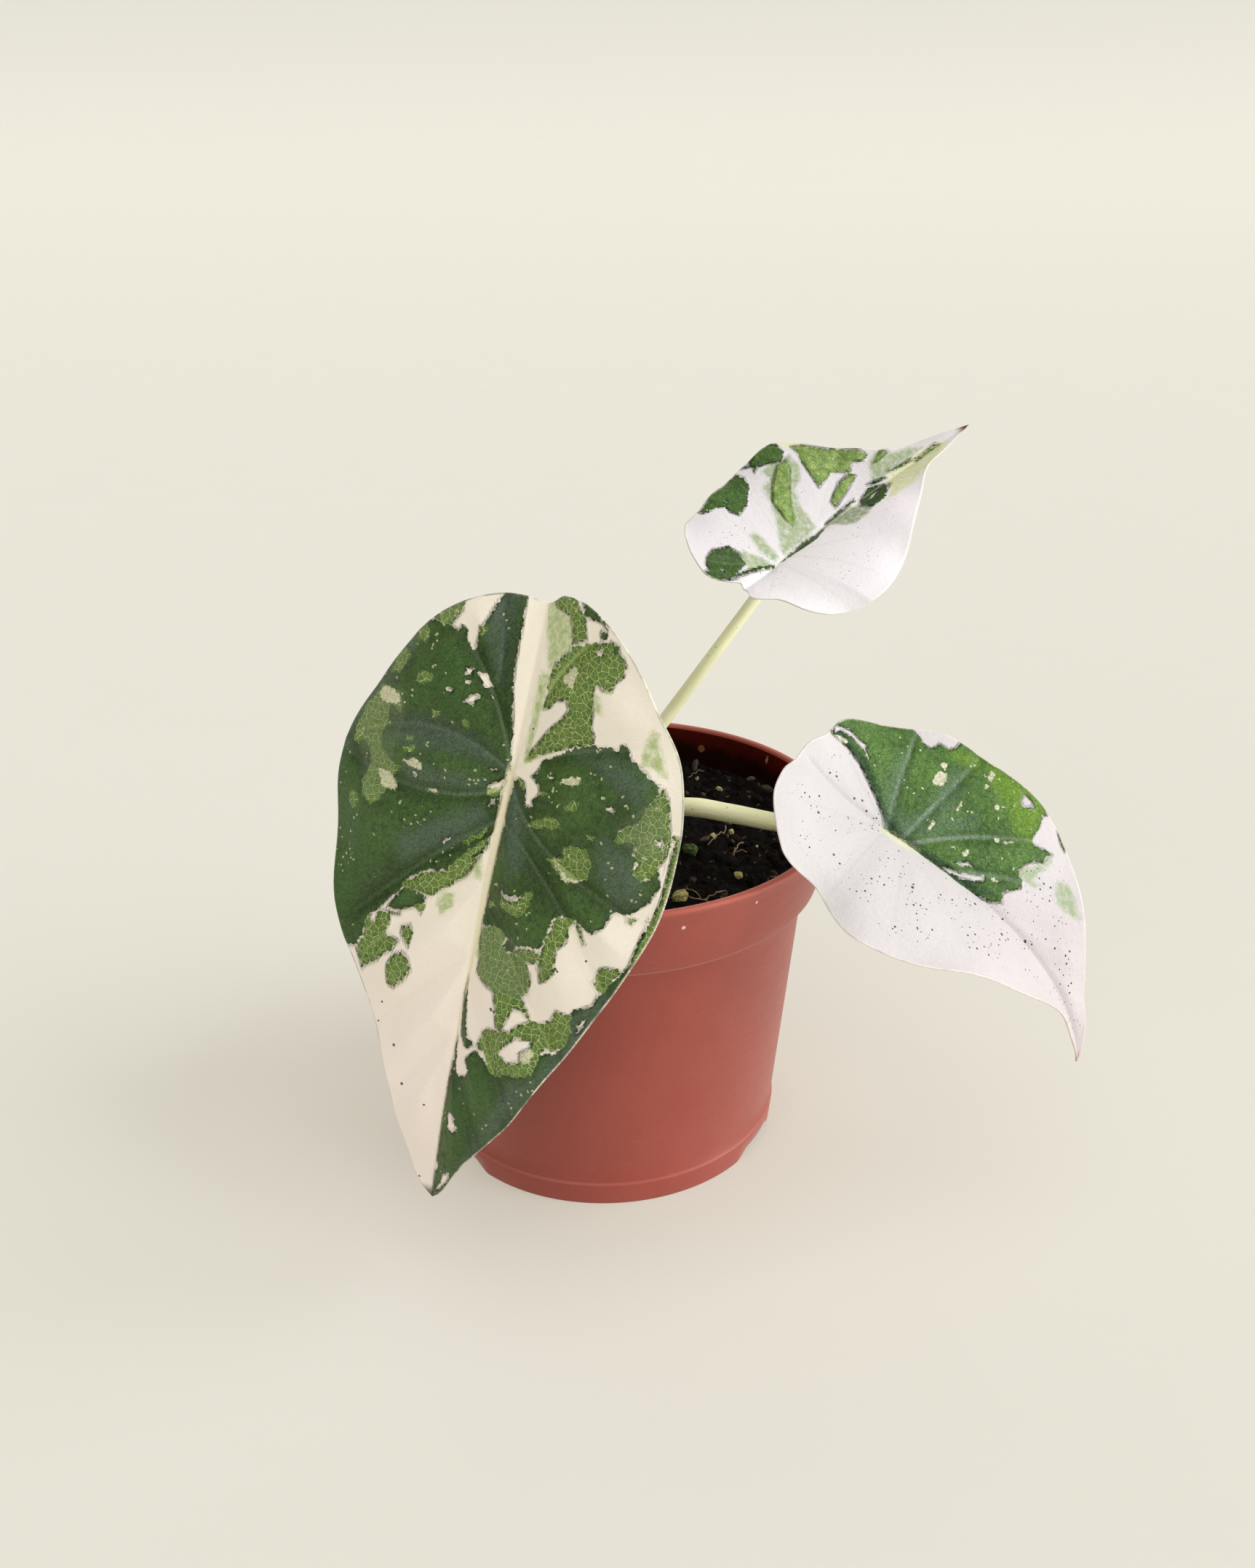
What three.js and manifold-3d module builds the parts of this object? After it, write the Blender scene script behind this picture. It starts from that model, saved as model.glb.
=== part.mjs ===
// A young potted alocasia with three shield-shaped, white and green leaves, in a 12 cm nursery pot.
// Millimetres, +Z up. The origin is the centre of the pot's underside, on the surface it stands on.
// The plant's front, the side its largest leaf hangs down, faces -Y.
import * as THREE from 'three';
import { mergeVertices } from 'three/addons/utils/BufferGeometryUtils.js';
import Module from 'manifold-3d';

const wasm = await Module();
wasm.setup();

// Clearance kept between pieces that touch.
const GAP = 0.3;

// Pot: a thin-walled cone with a flared rim band, standing on a foot ring with three drain notches.
const POT_HEIGHT = 91.3;
const RIM_RADIUS = 60;
const BAND_BOTTOM = 73.2;
const BAND_BOTTOM_RADIUS = 55.9;
const BODY_TOP_RADIUS = 52.5;
const FOOT_RADIUS = 45.1;
const WALL = 1.25;
const BAND_WALL = 1.7;
const FOOT_STEP_HEIGHT = 7;
const FOOT_STEP = 0.45;
const BASE_UNDERSIDE = 2.6;
const BASE_TOP = 4;
const BOSS_RADIUS = 14;
const BOSS_THICKNESS = 1.6;
const BOSS_FLARE = 2.6;
const POT_SEGMENTS = 60;
const NOTCH_COUNT = 3;
const NOTCH_START = 61.75;
const NOTCH_HALF_ANGLE = 14.3;
const NOTCH_HEIGHT = 2.4;
const DRAIN_HOLES = 6;
const DRAIN_HOLE_RADIUS = 4;
const DRAIN_RING_RADIUS = 30;

// Potting soil, filled to about a centimetre below the rim.
const SOIL_TOP = 81;
const SOIL_LUMP = 1.1;
const SOIL_SEGMENTS = 48;
const SOIL_RINGS = [6, 12, 18, 24, 30, 36.5, 42.5, 48, 52.5];
const CRUMB_COUNT = 40;
const CRUMB_SIZE = [1.1, 2.5];

// Rhizome: the short upright stem that the leaves grow from, with its main roots in the soil.
const CROWN_AT = new THREE.Vector3(-2, 0, 0);
const CROWN_TOP = 87;
const CROWN_RADIUS = 6.6;
const CORM_BOTTOM = 52;
const ROOT_COUNT = 5;
const ROOT_RADIUS = 1.5;
const ROOT_LENGTH = 36;

// Blades: thickness, the midrib that stands out below, how deep the veins sink between the raised
// panels of the upper surface, and the slow wave of the margin.
const BLADE_THICKNESS = 0.8;
const MIDRIB_DEPTH = 0.8;
const PANEL_RISE = 1.1;
const PANEL_WIDTH = 5;
const MARGIN_WAVE = 0.7;

// Directions from the tip, in degrees round the petiole joint, at which a blade's radii are given.
const MARGIN_ANGLES = [0, 2, 6, 14, 26, 42, 62, 84, 106, 126, 146, 162, 173, 180];

// Main veins of one half of a blade of unit length, as start, middle and end of a curve (x, t):
// x runs out from the midrib and t along it, from the petiole joint towards the tip.
const COMMON_VEINS = [
  [[0, 0], [0.08, -0.14], [0.16, -0.31]],
  [[0, 0], [0.18, -0.05], [0.38, -0.07]],
  [[0, 0.05], [0.15, 0.09], [0.42, 0.14]],
  [[0, 0.08], [0.12, 0.18], [0.28, 0.4]],
  [[0, 0.22], [0.09, 0.33], [0.2, 0.54]],
  [[0, 0.42], [0.06, 0.51], [0.14, 0.68]],
  [[0, 0.6], [0.03, 0.66], [0.08, 0.8]],
];
const FRONT_VEINS_LEFT = [
  [[0, 0], [0.05, -0.14], [0.15, -0.23]],
  [[0.07, -0.17], [0.07, -0.25], [0.1, -0.34]],
  [[0, 0], [0.2, -0.1], [0.42, 0.04]],
  [[0, 0.03], [0.15, 0.13], [0.44, 0.07]],
  [[0, 0.1], [0.12, 0.19], [0.3, 0.4]],
  [[0, 0.22], [0.1, 0.27], [0.25, 0.47]],
  [[0, 0.4], [0.08, 0.47], [0.2, 0.63]],
  [[0, 0.58], [0.05, 0.64], [0.13, 0.77]],
];
const FRONT_VEINS_RIGHT = [
  [[0, 0], [0.04, -0.22], [0.14, -0.3]],
  [[0.045, -0.2], [0.02, -0.27], [0.01, -0.34]],
  [[0, -0.01], [0.12, -0.09], [0.36, -0.15]],
  [[0.01, 0.02], [0.08, 0.14], [0.38, 0.2]],
  [[0, 0.1], [0.15, 0.16], [0.34, 0.36]],
  [[0, 0.28], [0.12, 0.36], [0.28, 0.55]],
  [[0, 0.47], [0.08, 0.54], [0.19, 0.7]],
  [[0, 0.63], [0.04, 0.68], [0.11, 0.81]],
];

// Each blade: where its petiole joins, which way its tip points and its upper face looks, its
// radii left and right of the midrib, and its bends in radians. The first bend of a pair is on the
// left. Fold lifts a half from the midrib, curl bends it outwards, and the tip and back values
// change both towards the tip and towards the two lobes. Droop bends the midrib itself.
const BLADES = {
  front: {
    joint: [-19, -56.6, 125.8],
    tip: [-0.234, -0.195, -0.953],
    face: [-0.496, -0.818, 0.289],
    left: [107, 103.2, 91.5, 74, 63, 57, 50.1, 46.6, 40.2, 37.8, 38, 38.2, 37.6, 37.2],
    right: [107, 103, 91.6, 79.3, 64.6, 54.2, 47.9, 43.8, 42.4, 39.6, 40.3, 40.7, 39.7, 37.2],
    veins: [FRONT_VEINS_LEFT, FRONT_VEINS_RIGHT],
    droop: { joint: 0, tip: 0.27, back: 0.3 },
    fold: { joint: [0.19, 0.24], tip: [0.07, 0.08], back: [0.01, 0.18] },
    curl: { joint: [-1.11, -1.1], tip: [0.03, 0.06], back: [-0.03, 0.08] },
    sweep: { tip: -0.03, back: -0.05 },
    halfSectors: 34,
    rings: 10,
  },
  back: {
    joint: [45.3, 9.9, 151.3],
    tip: [0.681, 0.659, 0.321],
    face: [0.254, -0.623, 0.74],
    left: [66.9, 61, 50.8, 43.8, 37.7, 33.1, 30.3, 28.9, 25.4, 22.5, 18.3, 19.2, 15.1, 13.9],
    right: [66.9, 60.6, 49.8, 42.6, 38, 36.3, 28.7, 24.3, 23.8, 26.1, 26.9, 25.2, 13.7, 13.9],
    veins: [COMMON_VEINS, COMMON_VEINS],
    droop: { joint: -0.31, tip: -0.2, back: -0.92 },
    fold: { joint: [0.82, 0.36], tip: [0.01, 0], back: [-0.52, 0.1] },
    curl: { joint: [-1.4, -1.34], tip: [0, 0], back: [-1.58, 0] },
    sweep: { tip: -0.1, back: 0.15 },
    halfSectors: 28,
    rings: 9,
  },
  right: {
    joint: [67.5, -32.7, 98.1],
    tip: [0.825, -0.277, -0.492],
    face: [0.377, -0.379, 0.845],
    left: [80, 73.1, 61.2, 51.8, 44.1, 38.8, 36.4, 35.1, 29.8, 33.4, 33.3, 31.2, 28.6, 28.1],
    right: [80, 74.4, 64.6, 55.5, 49.6, 44.5, 38.3, 35.3, 30.8, 29.4, 29.5, 27.5, 28.3, 28.1],
    veins: [COMMON_VEINS, COMMON_VEINS],
    droop: { joint: 0.23, tip: 0.74, back: -1.24 },
    fold: { joint: [0.2, 0.35], tip: [0.06, 0.35], back: [-0.25, -0.15] },
    curl: { joint: [-1.33, -0.58], tip: [0.01, 0.08], back: [-0.04, -0.09] },
    sweep: { tip: -0.03, back: 0.02 },
    halfSectors: 28,
    rings: 9,
  },
};

// Petioles: route from the crown to just under the blade's joint, and half sizes of the oval
// section, across and through, at the sheath on the crown, half way and under the blade.
const PETIOLES = {
  front: {
    route: [[-3.4, -4.6, 83], [-4.7, -9.6, 91.5], [-7.2, -22, 109], [-11.4, -39, 120.5]],
    sheath: [3.6, 1.9],
    middle: [2.6, 2.4],
    neck: [2.1, 2.1],
  },
  back: {
    route: [[-2, 0.2, 86], [3.2, 1.8, 95.3], [18.1, 4.3, 114.8], [29.1, 6.2, 129.4]],
    sheath: [3, 2.7],
    middle: [2.1, 2],
    neck: [1.7, 1.7],
  },
  right: {
    route: [[1.6, -2.2, 83.4], [8.6, -6.2, 91.2], [21.3, -12.6, 96.1], [31.6, -15.6, 95.5],
      [41.8, -19, 94.6], [54, -25.4, 94.9]],
    sheath: [3.6, 1.9],
    middle: [2.4, 2.2],
    neck: [2, 2],
  },
};
const PETIOLE_NECK = 5;
const PETIOLE_SIDES = 10;
const PETIOLE_STEPS = 18;

// Same numbers every run, for the crumbs of soil.
function seededRandom(seed) {
  let state = seed;
  return () => {
    state = (state * 1664525 + 1013904223) % 4294967296;
    return state / 4294967296;
  };
}

// A three.js geometry as a solid for cutting and joining.
function toSolid(geometry) {
  const bare = geometry.clone();
  bare.deleteAttribute('normal');
  bare.deleteAttribute('uv');
  const welded = mergeVertices(bare, 1e-4);
  return new wasm.Manifold(new wasm.Mesh({
    numProp: 3,
    vertProperties: new Float32Array(welded.attributes.position.array),
    triVerts: new Uint32Array(welded.index.array),
  }));
}

function toGeometry(solid) {
  const mesh = solid.getMesh();
  const geometry = new THREE.BufferGeometry();
  geometry.setAttribute('position', new THREE.BufferAttribute(mesh.vertProperties, 3));
  geometry.setIndex(new THREE.BufferAttribute(mesh.triVerts, 1));
  geometry.computeVertexNormals();
  return geometry;
}

// A closed geometry from a list of points and a list of triangles.
function meshOf(points, triangles) {
  const geometry = new THREE.BufferGeometry();
  geometry.setAttribute('position', new THREE.Float32BufferAttribute(points.flatMap((p) => p.toArray()), 3));
  geometry.setIndex(triangles.flat());
  geometry.computeVertexNormals();
  return geometry;
}

// Turned about +Z from (radius, height) points that start and end on the axis, bottom first.
function turned(profile, segments) {
  const points = profile.map(([radius, height]) => new THREE.Vector2(radius, height));
  return new THREE.LatheGeometry(points, segments).rotateX(Math.PI / 2);
}

// Rings of equal count joined into a skin, with both ends closed.
function loft(rings) {
  const count = rings[0].length;
  const triangles = [];
  for (let ring = 0; ring + 1 < rings.length; ring += 1) {
    for (let side = 0; side < count; side += 1) {
      const next = (side + 1) % count;
      const a = ring * count + side;
      const b = ring * count + next;
      triangles.push([a, b, b + count], [a, b + count, a + count]);
    }
  }
  const last = (rings.length - 1) * count;
  for (let side = 1; side + 1 < count; side += 1) {
    triangles.push([0, side + 1, side], [last, last + side, last + side + 1]);
  }
  return meshOf(rings.flat(), triangles);
}

// A round or oval stem along a curve. The section's second size lies towards the given side.
function stem(curve, steps, sides, side, sizeAt) {
  const rings = [];
  for (let step = 0; step <= steps; step += 1) {
    const along = step / steps;
    const centre = curve.getPointAt(along);
    const tangent = curve.getTangentAt(along);
    const through = side.clone().addScaledVector(tangent, -side.dot(tangent)).normalize();
    const across = new THREE.Vector3().crossVectors(through, tangent);
    const [wide, deep] = sizeAt(along);
    const ring = [];
    for (let corner = 0; corner < sides; corner += 1) {
      const turn = (2 * Math.PI * corner) / sides;
      ring.push(centre.clone()
        .addScaledVector(across, wide * Math.cos(turn))
        .addScaledVector(through, deep * Math.sin(turn)));
    }
    rings.push(ring);
  }
  return loft(rings);
}

const smoothStep = (value) => THREE.MathUtils.smoothstep(value, 0, 1);
const mix = THREE.MathUtils.lerp;

function bodyRadius(height) {
  return FOOT_RADIUS - FOOT_STEP + ((BODY_TOP_RADIUS - FOOT_RADIUS + FOOT_STEP) * height) / BAND_BOTTOM;
}

function bandRadius(height) {
  const climb = (height - BAND_BOTTOM) / (POT_HEIGHT - BAND_BOTTOM);
  return mix(BAND_BOTTOM_RADIUS, RIM_RADIUS, climb);
}

function potProfile() {
  const foot = bodyRadius(FOOT_STEP_HEIGHT) + FOOT_STEP;
  const lip = RIM_RADIUS - BAND_WALL;
  return [
    [0, 0],
    [BOSS_RADIUS, 0],
    [BOSS_RADIUS + BOSS_FLARE, BASE_UNDERSIDE],
    [FOOT_RADIUS - 1.6, BASE_UNDERSIDE],
    [FOOT_RADIUS - 1.5, 0],
    [FOOT_RADIUS, 0],
    [foot, FOOT_STEP_HEIGHT - 0.5],
    [foot - FOOT_STEP, FOOT_STEP_HEIGHT],
    [bodyRadius(BAND_BOTTOM - 0.8), BAND_BOTTOM - 0.8],
    [bandRadius(BAND_BOTTOM) - 1, BAND_BOTTOM],
    [bandRadius(BAND_BOTTOM + 1), BAND_BOTTOM + 1],
    [bandRadius(POT_HEIGHT - 1.6), POT_HEIGHT - 1.6],
    [RIM_RADIUS, POT_HEIGHT - 0.9],
    [RIM_RADIUS - 0.5, POT_HEIGHT - 0.1],
    [lip - 0.1, POT_HEIGHT],
    [lip - 0.6, POT_HEIGHT - 0.8],
    [bandRadius(BAND_BOTTOM + 1.6) - BAND_WALL, BAND_BOTTOM + 1.6],
    [bodyRadius(BAND_BOTTOM + 0.6) - WALL, BAND_BOTTOM + 0.6],
    [bodyRadius(BASE_TOP + 1.2) - WALL, BASE_TOP + 1.2],
    [bodyRadius(BASE_TOP) - WALL - 1.2, BASE_TOP],
    [BOSS_RADIUS + BOSS_FLARE - 1.4, BASE_TOP],
    [BOSS_RADIUS - 1.4, BOSS_THICKNESS],
    [0, BOSS_THICKNESS],
  ];
}

// A shallow arch through the foot ring, cut along -Y and then turned to its place.
function drainNotch(angle) {
  const half = FOOT_RADIUS * Math.sin(THREE.MathUtils.degToRad(NOTCH_HALF_ANGLE));
  const arch = new THREE.Shape();
  arch.moveTo(-half, -1);
  arch.lineTo(-half, 0);
  arch.quadraticCurveTo(-half * 0.8, NOTCH_HEIGHT, -half * 0.45, NOTCH_HEIGHT);
  arch.lineTo(half * 0.45, NOTCH_HEIGHT);
  arch.quadraticCurveTo(half * 0.8, NOTCH_HEIGHT, half, 0);
  arch.lineTo(half, -1);
  const cutter = new THREE.ExtrudeGeometry(arch, { depth: 16, bevelEnabled: false, curveSegments: 3 });
  cutter.rotateX(Math.PI / 2).translate(0, -FOOT_RADIUS + 12, 0);
  return cutter.rotateZ(angle);
}

function nurseryPot() {
  let pot = toSolid(turned(potProfile(), POT_SEGMENTS));
  for (let notch = 0; notch < NOTCH_COUNT; notch += 1) {
    const angle = THREE.MathUtils.degToRad(NOTCH_START + (360 / NOTCH_COUNT) * notch);
    pot = pot.subtract(toSolid(drainNotch(angle)));
  }
  for (let hole = 0; hole < DRAIN_HOLES; hole += 1) {
    const angle = (2 * Math.PI * hole) / DRAIN_HOLES;
    const cutter = new THREE.CylinderGeometry(DRAIN_HOLE_RADIUS, DRAIN_HOLE_RADIUS, 4, 12);
    cutter.rotateX(Math.PI / 2).translate(DRAIN_RING_RADIUS, 0, (BASE_UNDERSIDE + BASE_TOP) / 2);
    pot = pot.subtract(toSolid(cutter.rotateZ(angle)));
  }
  return toGeometry(pot);
}

// Uneven surface of the soil: long swells, short lumps, and level ground round the crown.
function soilHeight(x, y) {
  const swell = Math.sin(x * 0.11 + 0.6) * Math.cos(y * 0.13 - 0.4);
  const lumps = Math.sin(x * 0.47 + y * 0.21) * Math.sin(y * 0.43 - x * 0.17 + 1.3);
  const away = smoothStep((Math.hypot(x - CROWN_AT.x, y - CROWN_AT.y) - 12) / 12);
  const atWall = smoothStep((Math.hypot(x, y) - 44) / 12);
  return SOIL_TOP + away * (SOIL_LUMP * (swell + 0.7 * lumps) + 0.9 * atWall);
}

// A root leaves the corm sideways, turns down and thins out.
function root(index, extra) {
  const turn = (2 * Math.PI * (index + 0.12 * Math.sin(5 * index))) / ROOT_COUNT;
  const out = new THREE.Vector3(Math.cos(turn), Math.sin(turn), 0);
  const start = CROWN_AT.clone().setZ(66 - 2 * (index % 3)).addScaledVector(out, 3);
  const reach = ROOT_LENGTH * (0.8 + 0.25 * Math.sin(2.1 * index + 1)) + extra;
  const curve = new THREE.QuadraticBezierCurve3(
    start,
    start.clone().addScaledVector(out, reach * 0.55).setZ(start.z - reach * 0.15),
    start.clone().addScaledVector(out, reach * 0.75).setZ(start.z - reach * 0.8),
  );
  const up = new THREE.Vector3(0.1, 0.2, 1);
  return stem(curve, 7, 6, up, (along) => {
    const radius = mix(ROOT_RADIUS, 0.6, along) + extra;
    return [radius, radius];
  });
}

// The rhizome, or with a clearance the space that it takes up in the soil.
function rhizome(extra) {
  const profile = [
    [0, CORM_BOTTOM - extra],
    [2.6 + extra, CORM_BOTTOM - extra],
    [5.2 + extra, 60],
    [6.4 + extra, 70],
    [CROWN_RADIUS + extra, 80],
    [CROWN_RADIUS + extra, 81.6],
    [CROWN_RADIUS - 0.7 + extra, 82.4],
    [CROWN_RADIUS - 0.5 + extra, 84],
    [CROWN_RADIUS - 1.6 + extra, 84.8],
    [CROWN_RADIUS - 1.9 + extra, CROWN_TOP - 0.4 + extra],
    [CROWN_RADIUS - 2.6 + extra, CROWN_TOP + extra],
    [0, CROWN_TOP + extra],
  ];
  const corm = turned(profile, 20).translate(CROWN_AT.x, CROWN_AT.y, 0);
  let solid = toSolid(corm);
  for (let index = 0; index < ROOT_COUNT; index += 1) {
    solid = solid.add(toSolid(root(index, extra)));
  }
  return solid;
}

function pottingSoil() {
  const side = (height) => bodyRadius(height) - WALL - GAP;
  const bandSide = (height) => bandRadius(height) - BAND_WALL - GAP;
  const shelf = BAND_BOTTOM + 1.6 + GAP;
  const top = [...SOIL_RINGS].reverse().map((radius) => [radius, SOIL_TOP]);
  const profile = [
    [0, BOSS_THICKNESS + GAP],
    [BOSS_RADIUS - 1.5, BOSS_THICKNESS + GAP],
    [BOSS_RADIUS + BOSS_FLARE - 1.5, BASE_TOP + GAP],
    [side(BASE_TOP) - 1.3, BASE_TOP + GAP],
    [side(BASE_TOP + 1.5), BASE_TOP + 1.5],
    [side(BAND_BOTTOM), BAND_BOTTOM + 0.9],
    [bandSide(shelf) - 0.4, shelf],
    [bandSide(SOIL_TOP) - 0.4, SOIL_TOP],
    ...top,
    [0, SOIL_TOP],
  ];
  const shape = turned(profile, SOIL_SEGMENTS);
  const position = shape.attributes.position;
  for (let index = 0; index < position.count; index += 1) {
    if (Math.abs(position.getZ(index) - SOIL_TOP) < 1e-3) {
      position.setZ(index, soilHeight(position.getX(index), position.getY(index)));
    }
  }
  let soil = toSolid(shape);
  const random = seededRandom(17);
  for (let crumb = 0; crumb < CRUMB_COUNT; crumb += 1) {
    const turn = 2 * Math.PI * random();
    const away = mix(16, 52, Math.sqrt(random()));
    const size = mix(CRUMB_SIZE[0], CRUMB_SIZE[1], random());
    const at = new THREE.Vector3(Math.cos(turn) * away, Math.sin(turn) * away, 0);
    at.z = soilHeight(at.x, at.y) + size * 0.15;
    const lump = new THREE.IcosahedronGeometry(size, 0);
    lump.scale(1, 0.8, 0.75).rotateZ(turn * 7).translate(at.x, at.y, at.z);
    soil = soil.add(toSolid(lump));
  }
  return toGeometry(soil.subtract(rhizome(GAP)));
}

// Smooth curve through values at known angles that never overshoots them.
function valueBetween(angles, values, angle) {
  const last = angles.length - 1;
  let cell = 0;
  while (cell + 1 < last && angle > angles[cell + 1]) cell += 1;
  const slope = (index) => (values[index + 1] - values[index]) / (angles[index + 1] - angles[index]);
  const tangent = (index) => {
    if (index === 0) return slope(0);
    if (index === last) return 0;
    const before = slope(index - 1);
    const after = slope(index);
    return before * after <= 0 ? 0 : (2 * before * after) / (before + after);
  };
  const width = angles[cell + 1] - angles[cell];
  const s = (angle - angles[cell]) / width;
  const rise = (1 - s) * (1 - s) * s * width * tangent(cell);
  const fall = s * s * (s - 1) * width * tangent(cell + 1);
  return mix(values[cell], values[cell + 1], s * s * (3 - 2 * s)) + rise + fall;
}

// How far a flat point of one half of a blade lies from its nearest main vein. Both are shares of
// the blade's length.
function veinDistance(veins, x, t) {
  let nearest = x;
  for (const vein of veins) {
    const [start, middle, end] = vein.map(([veinX, veinT]) => new THREE.Vector2(veinX, veinT));
    const curve = new THREE.QuadraticBezierCurve(start, middle, end);
    for (const at of curve.getPoints(12)) {
      nearest = Math.min(nearest, Math.hypot(x - at.x, t - at.y));
    }
  }
  return nearest;
}

// The bent blade: point and normal of the middle of its thickness at a flat point, in which x runs
// right of the midrib and t along it towards the tip. Rim is 0 at the joint and 1 at the margin.
function bladePoint(blade, x, t, rim) {
  const length = blade.left[0];
  const tip = new THREE.Vector3(...blade.tip).normalize();
  const face = new THREE.Vector3(...blade.face);
  face.addScaledVector(tip, -face.dot(tip)).normalize();
  const across = new THREE.Vector3().crossVectors(face, tip);
  const half = x < 0 ? 0 : 1;
  const share = t / length;
  const ahead = Math.max(share, 0);
  const behind = Math.max(-share, 0);
  const bend = (kind) => kind.joint[half] + kind.tip[half] * ahead + kind.back[half] * behind;
  const droop = (s) => (s > 0
    ? blade.droop.joint * s + blade.droop.tip * s * s
    : blade.droop.back * s);

  let along = 0;
  let sink = 0;
  const steps = 24;
  for (let step = 0; step < steps; step += 1) {
    const angle = droop((share * (step + 0.5)) / steps);
    along += (Math.cos(angle) * t) / steps;
    sink += (Math.sin(angle) * t) / steps;
  }
  const fold = bend(blade.fold);
  const curl = bend(blade.curl) / length;
  const out = Math.abs(x);
  const angle = fold + curl * out;
  const reach = (Math.sin(angle) - Math.sin(fold)) / curl;
  const lift = (Math.cos(fold) - Math.cos(angle)) / curl;
  const sweep = length * (blade.sweep.tip * ahead ** 2 + blade.sweep.back * behind ** 2);
  const up = face.clone().multiplyScalar(Math.cos(droop(share))).addScaledVector(tip, Math.sin(droop(share)));
  const outwards = across.clone().multiplyScalar(half === 0 ? -1 : 1);

  const crease = smoothStep(out / 4);
  const normal = up.clone().multiplyScalar(mix(1, Math.cos(angle), crease))
    .addScaledVector(outwards, -Math.sin(angle) * crease).normalize();
  const vein = veinDistance(blade.veins[half], out / length, share) * length;
  const panel = 1 - Math.exp(-((vein / PANEL_WIDTH) ** 2));
  const fade = smoothStep(rim / 0.35) * (1 - 0.6 * smoothStep((rim - 0.75) / 0.25));
  const wave = MARGIN_WAVE * rim ** 4 * Math.sin(share * 19 + half * 2) * smoothStep(out / 8);
  return {
    point: new THREE.Vector3(...blade.joint)
      .addScaledVector(tip, along)
      .addScaledVector(face, -sink)
      .addScaledVector(outwards, reach)
      .addScaledVector(across, sweep)
      .addScaledVector(up, lift)
      .addScaledVector(normal, PANEL_RISE * panel * fade + wave),
    normal,
  };
}

// A blade's solid: rays from the petiole joint, closer together near the tip, cut by rings.
function leafBlade(blade) {
  const sectors = 2 * blade.halfSectors;
  const upper = [];
  const lower = [];
  const addPoint = (x, t, rim) => {
    const { point, normal } = bladePoint(blade, x, t, rim);
    const midrib = x === 0 ? MIDRIB_DEPTH * (1 - rim) : 0;
    upper.push(point.clone().addScaledVector(normal, BLADE_THICKNESS / 2));
    lower.push(point.clone().addScaledVector(normal, -BLADE_THICKNESS / 2 - midrib));
  };
  addPoint(0, 0, 0);
  for (let ring = 1; ring <= blade.rings; ring += 1) {
    const rim = (ring / blade.rings) ** 0.85;
    for (let sector = 0; sector < sectors; sector += 1) {
      const fromTip = Math.abs(sector - blade.halfSectors) / blade.halfSectors;
      const onLeft = sector < blade.halfSectors;
      const angle = 180 * fromTip ** 1.3;
      const radius = rim * valueBetween(MARGIN_ANGLES, onLeft ? blade.left : blade.right, angle);
      const turn = THREE.MathUtils.degToRad(angle);
      const onMidrib = sector === 0 || sector === blade.halfSectors;
      const x = onMidrib ? 0 : radius * Math.sin(turn) * (onLeft ? -1 : 1);
      addPoint(x, radius * Math.cos(turn), rim);
    }
  }
  const offset = upper.length;
  const triangles = [];
  const addCell = (a, b, c) => triangles.push([a, b, c], [a + offset, c + offset, b + offset]);
  for (let sector = 0; sector < sectors; sector += 1) {
    const next = (sector + 1) % sectors;
    addCell(0, 1 + sector, 1 + next);
    for (let ring = 0; ring + 1 < blade.rings; ring += 1) {
      const inner = 1 + ring * sectors;
      const outer = inner + sectors;
      addCell(inner + sector, outer + sector, outer + next);
      addCell(inner + sector, outer + next, inner + next);
    }
    const margin = 1 + (blade.rings - 1) * sectors;
    const a = margin + sector;
    const b = margin + next;
    triangles.push([a, b + offset, b], [a, a + offset, b + offset]);
  }
  return meshOf([...upper, ...lower], triangles);
}

// A petiole from the crown, whose flattened sheath is hollowed to sit against the rhizome, with a
// short straight neck that meets the underside of the blade squarely.
function petiole(shape, blade) {
  const tip = new THREE.Vector3(...blade.tip).normalize();
  const face = new THREE.Vector3(...blade.face);
  face.addScaledVector(tip, -face.dot(tip)).normalize();
  const joint = new THREE.Vector3(...blade.joint);
  const end = joint.clone().addScaledVector(face, -(BLADE_THICKNESS / 2 + MIDRIB_DEPTH + GAP + 0.1));
  const neck = joint.clone().addScaledVector(face, -PETIOLE_NECK);
  const route = [...shape.route.map((at) => new THREE.Vector3(...at)), neck, end];
  const curve = new THREE.CatmullRomCurve3(route, false, 'centripetal');
  const side = route[0].clone().sub(CROWN_AT).setZ(0.3).normalize();
  const whole = stem(curve, PETIOLE_STEPS, PETIOLE_SIDES, side, (along) => {
    const low = smoothStep(along / 0.35);
    const high = smoothStep((along - 0.4) / 0.6);
    return [0, 1].map((axis) => mix(mix(shape.sheath[axis], shape.middle[axis], low), shape.neck[axis], high));
  });
  return toGeometry(toSolid(whole).subtract(rhizome(GAP)));
}

const terracotta = new THREE.MeshStandardMaterial({ color: 0xb0544a, roughness: 0.6, metalness: 0 });
const peat = new THREE.MeshStandardMaterial({ color: 0x1e1510, roughness: 0.95, metalness: 0 });
const stemGreen = new THREE.MeshStandardMaterial({ color: 0xc9cf93, roughness: 0.55, metalness: 0 });
const cormBrown = new THREE.MeshStandardMaterial({ color: 0x8a7a55, roughness: 0.8, metalness: 0 });
const leafGreen = new THREE.MeshStandardMaterial({ color: 0x39583f, roughness: 0.5, metalness: 0 });
const leafWhite = new THREE.MeshStandardMaterial({ color: 0xefe4da, roughness: 0.5, metalness: 0 });

function named(name, geometry, material) {
  const mesh = new THREE.Mesh(geometry, material);
  mesh.name = name;
  return mesh;
}

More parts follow.
